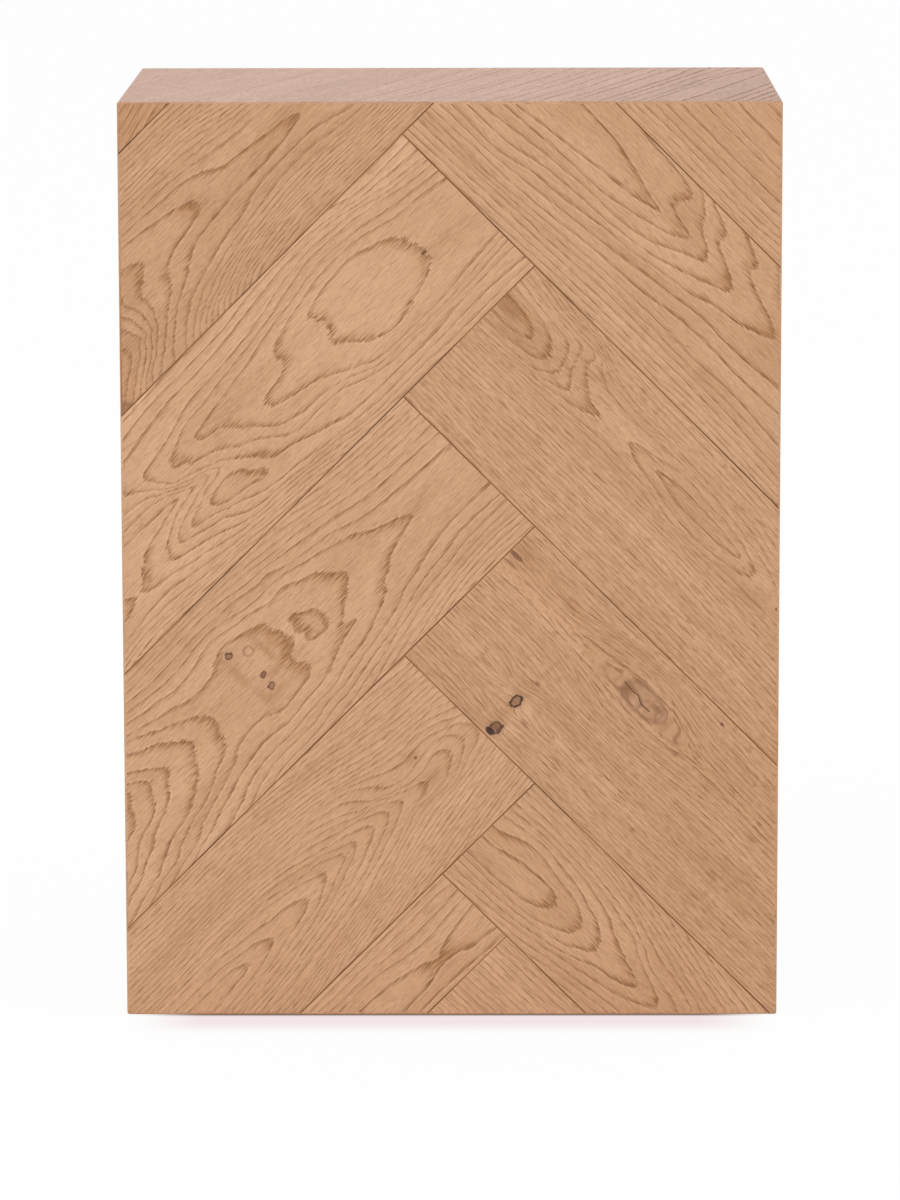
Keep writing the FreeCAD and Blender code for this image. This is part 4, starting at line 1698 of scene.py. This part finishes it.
@dataclass
class Casing:
    """Plain oak boards of the top, the sides and the back.

    Attributes:
        net: size of the net on their faces, in millimetres.
        top_net: the same on the top, which is seen in the photograph's view.
    """

    net: float = 2.0
    top_net: float = 1.4

    SLOT = "oak_board"

    def boards(self) -> list[Board]:
        """Lays out the boards.

        Returns:
            The boards with their figures.
        """
        upright = (
            ("left_board", (-1, 0, 0), arches(axis=98, foot=40, step=62, number=8), 149),
            ("right_board", (1, 0, 0), arches(axis=104, foot=420, step=-58, number=8), 151),
            (
                "back_board",
                (0, 1, 0),
                arches(axis=92, foot=30, step=66, number=8) + arches(axis=238, foot=425, step=-61, number=8),
                163,
            ),
        )
        top = ("top_board", Vector((0, 0, 1)), Grain.INWARD, Corner.START, top_figure(), self.top_net)
        boards = [Board(*top, self.SLOT)]
        for name, outward, rings, seed in upright:
            figure = Figure((0, 0), rings, seed=seed)
            boards.append(
                Board(name, Vector(outward), Grain.UPRIGHT, Corner.START, figure, self.net, self.SLOT)
            )
        return boards

    def build(self, nodes: dict[str, Piece], relief: GrainRelief) -> list[Piece]:
        """Makes every board.

        Args:
            nodes: the block's solids by name.
            relief: the tree that carves them.

        Returns:
            The finished boards.
        """
        joint = JointFinish("oak_mitre").material()
        # The top's paler, greyer tones are partly its own board and partly a painted sheen, the pale
        # reflection seen along it at a grazing angle.
        woods = {
            Grain.INWARD: OakFinish(
                "oak_top", Grain.INWARD, pale=tone(228, 186, 164), deep=tone(157, 112, 83), roughness=0.45
            ).material(),
            Grain.UPRIGHT: OakFinish("oak_boards", Grain.UPRIGHT).material(),
        }
        return [board.build(nodes[board.node], relief, woods[board.grain], joint) for board in self.boards()]


@dataclass
class Carcass:
    """Hidden panels inside the block: the backing of the parquet and the base."""

    nodes: tuple[str, ...] = ("backing_panel", "base_board")

    def dress(self, nodes: dict[str, Piece]) -> list[Piece]:
        """Gives the panels their finish.

        Args:
            nodes: the block's solids by name.

        Returns:
            The dressed solids.
        """
        plywood = PlywoodFinish().material()
        panels = [nodes[name] for name in self.nodes]
        for panel in panels:
            for slot in panel.material_slots:
                slot.material = plywood
        return panels


@dataclass
class Studio:
    """White studio: floor, even light, lamps and the camera at the photograph's place.

    Attributes:
        camera_place: where the camera stands.
        pitch, yaw, roll: how far it looks down, turns and leans, in degrees.
        focal_length, film_height: its lens, in millimetres.
        floor_size: side of the floor.
        sky: strength of the even light.
        floor_white: share of plain white in the floor as the camera sees it; the rest keeps the shadow.
        floor_tone: how pale the floor itself is.
        contact_reach: how far the painted close shadow in front of the block reaches.
        contact_edge: how far its painted darkest line reaches.
        painted_shadow_tone: tone painted on the plain white as the close shadow.
        painted_shadow_line: tone of its darkest line, painted at the foot of the block.
    """

    camera_place: tuple[float, float, float] = (0.0215, -2.9324, 0.6909)
    pitch: float = 9.698
    yaw: float = 0.443
    roll: float = 0.131
    focal_length: float = 176.87
    film_height: float = 36.0
    floor_size: float = 60.0
    sky: float = 0.8
    floor_white: float = 0.95
    floor_tone: float = 0.97
    contact_reach: float = 0.042
    contact_edge: float = 0.004
    painted_shadow_tone: Tone = tone(243, 229, 230)
    painted_shadow_line: Tone = tone(110, 84, 72)

    def build(self) -> None:
        """Sets up the whole studio."""
        self._world()
        self._floor()
        self._lamp("key_lamp", place=(-1.6, -2.4, 2.2), size=2.2, power=26.0)
        self._lamp("fill_lamp", place=(2.2, -1.2, 1.6), size=2.0, power=8.0)
        self._camera()
        bpy.context.scene.view_settings.view_transform = "Standard"

    def _world(self) -> None:
        """Even white light, seen by the camera and in reflections as plain white."""
        world = bpy.data.worlds.new("studio_white")
        world.use_nodes = True
        wires = Wiring(world.node_tree)
        path = wires.add("ShaderNodeLightPath").outputs
        seen = wires.math("MAXIMUM", path["Is Camera Ray"], path["Is Glossy Ray"])
        background = world.node_tree.nodes["Background"]
        background.inputs["Color"].default_value = (1.0, 1.0, 1.0, 1.0)
        wires.link(wires.fit(seen, (0.0, 1.0), (self.sky, 1.0)), background.inputs["Strength"])
        bpy.context.scene.world = world

    def _floor(self) -> None:
        """Pale floor that keeps a faint real shadow of the block, with a painted close shadow and a painted
        dark line in front of it.
        """
        (_, front, _), (side, _, _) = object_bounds()
        half = self.floor_size / 2
        corners = [(-half, -half, 0.0), (half, -half, 0.0), (half, half, 0.0), (-half, half, 0.0)]
        mesh = bpy.data.meshes.new("floor")
        mesh.from_pydata(corners, [], [(0, 1, 2, 3)])
        floor = bpy.data.objects.new("floor", mesh)
        bpy.context.scene.collection.objects.link(floor)
        material, wires, _ = Wiring.of_material("studio_floor")
        material.node_tree.nodes.remove(material.node_tree.nodes["Principled BSDF"])
        path = wires.add("ShaderNodeLightPath").outputs
        pale = wires.add("ShaderNodeBsdfDiffuse", {"Color": (self.floor_tone,) * 3 + (1.0,)}).outputs[0]
        place = wires.add("ShaderNodeTexCoord").outputs["Object"]
        aside, depth, _ = wires.add("ShaderNodeSeparateXYZ", {0: place}).outputs
        # Painted shadow: a pinkish tone in front of the block, set by place on the floor, not by light.
        ends = (side - self.contact_reach, side)
        along = wires.fit(wires.math("ABSOLUTE", aside), ends, (1.0, 0.0), True)
        fading = (front - self.contact_reach, front - self.contact_reach / 3)
        close = wires.times(wires.fit(depth, fading, (0.0, 1.0), True), along)
        close = wires.times(close, wires.math("LESS_THAN", depth, front / 2))
        shown = wires.blend(close, (1.0, 1.0, 1.0, 1.0), self.painted_shadow_tone)
        # Painted shadow: a dark line right at the foot of the block, also set by place.
        painted_line_share = wires.fit(depth, (front - self.contact_edge, front), (0.0, 1.0))
        shown = wires.blend(wires.times(painted_line_share, close), shown, self.painted_shadow_line)
        white = wires.add("ShaderNodeEmission", {"Color": shown}).outputs[0]
        share = wires.times(path["Is Camera Ray"], self.floor_white)
        surface = wires.add("ShaderNodeMixShader", {0: share, 1: pale, 2: white}).outputs[0]
        output = material.node_tree.nodes["Material Output"]
        wires.link(surface, output.inputs["Surface"])
        mesh.materials.append(material)
        floor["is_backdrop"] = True

    @staticmethod
    def _lamp(name: str, place: tuple[float, float, float], size: float, power: float) -> None:
        """Adds a soft square lamp that looks at the middle of the block.

        Args:
            name: the lamp's name.
            place: where it hangs.
            size: its side.
            power: its power, in watts.
        """
        light = bpy.data.lights.new(name, "AREA")
        light.size = size
        light.energy = power
        lamp = bpy.data.objects.new(name, light)
        low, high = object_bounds()
        aim = (Vector(low) + Vector(high)) / 2 - Vector(place)
        lamp.matrix_world = Matrix.Translation(place) @ aim.to_track_quat("-Z", "Y").to_matrix().to_4x4()
        bpy.context.scene.collection.objects.link(lamp)

    def _camera(self) -> None:
        """Puts the camera where the photograph was taken."""
        lens = bpy.data.cameras.new("camera")
        lens.sensor_fit = "VERTICAL"
        lens.sensor_height = self.film_height
        lens.lens = self.focal_length
        camera = bpy.data.objects.new("camera", lens)
        heading = Matrix.Rotation(math.radians(self.yaw), 4, "Z")
        tilt = Matrix.Rotation(math.radians(-self.pitch), 4, "X")
        lean = Matrix.Rotation(math.radians(self.roll), 4, "Y")
        level = Matrix.Rotation(math.radians(90.0), 4, "X")
        camera.matrix_world = Matrix.Translation(self.camera_place) @ heading @ tilt @ lean @ level
        bpy.context.scene.collection.objects.link(camera)
        bpy.context.scene.camera = camera


def corners(bounds: tuple) -> list[list[float]]:
    """Box as plain lists of numbers."""
    return [list(map(float, corner)) for corner in bounds]


def main() -> None:
    """Builds the block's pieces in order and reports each."""
    logging.basicConfig(level=logging.INFO)
    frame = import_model()
    nodes = frame["nodes"]
    Studio().build()
    relief = GrainRelief()
    pieces = Parquet().build(nodes, relief) + Casing().build(nodes, relief) + Carcass().dress(nodes)
    for piece in pieces:
        LOG.info("%s: %d faces", piece.name, len(piece.data.polygons))


if __name__ == "__main__":
    main()
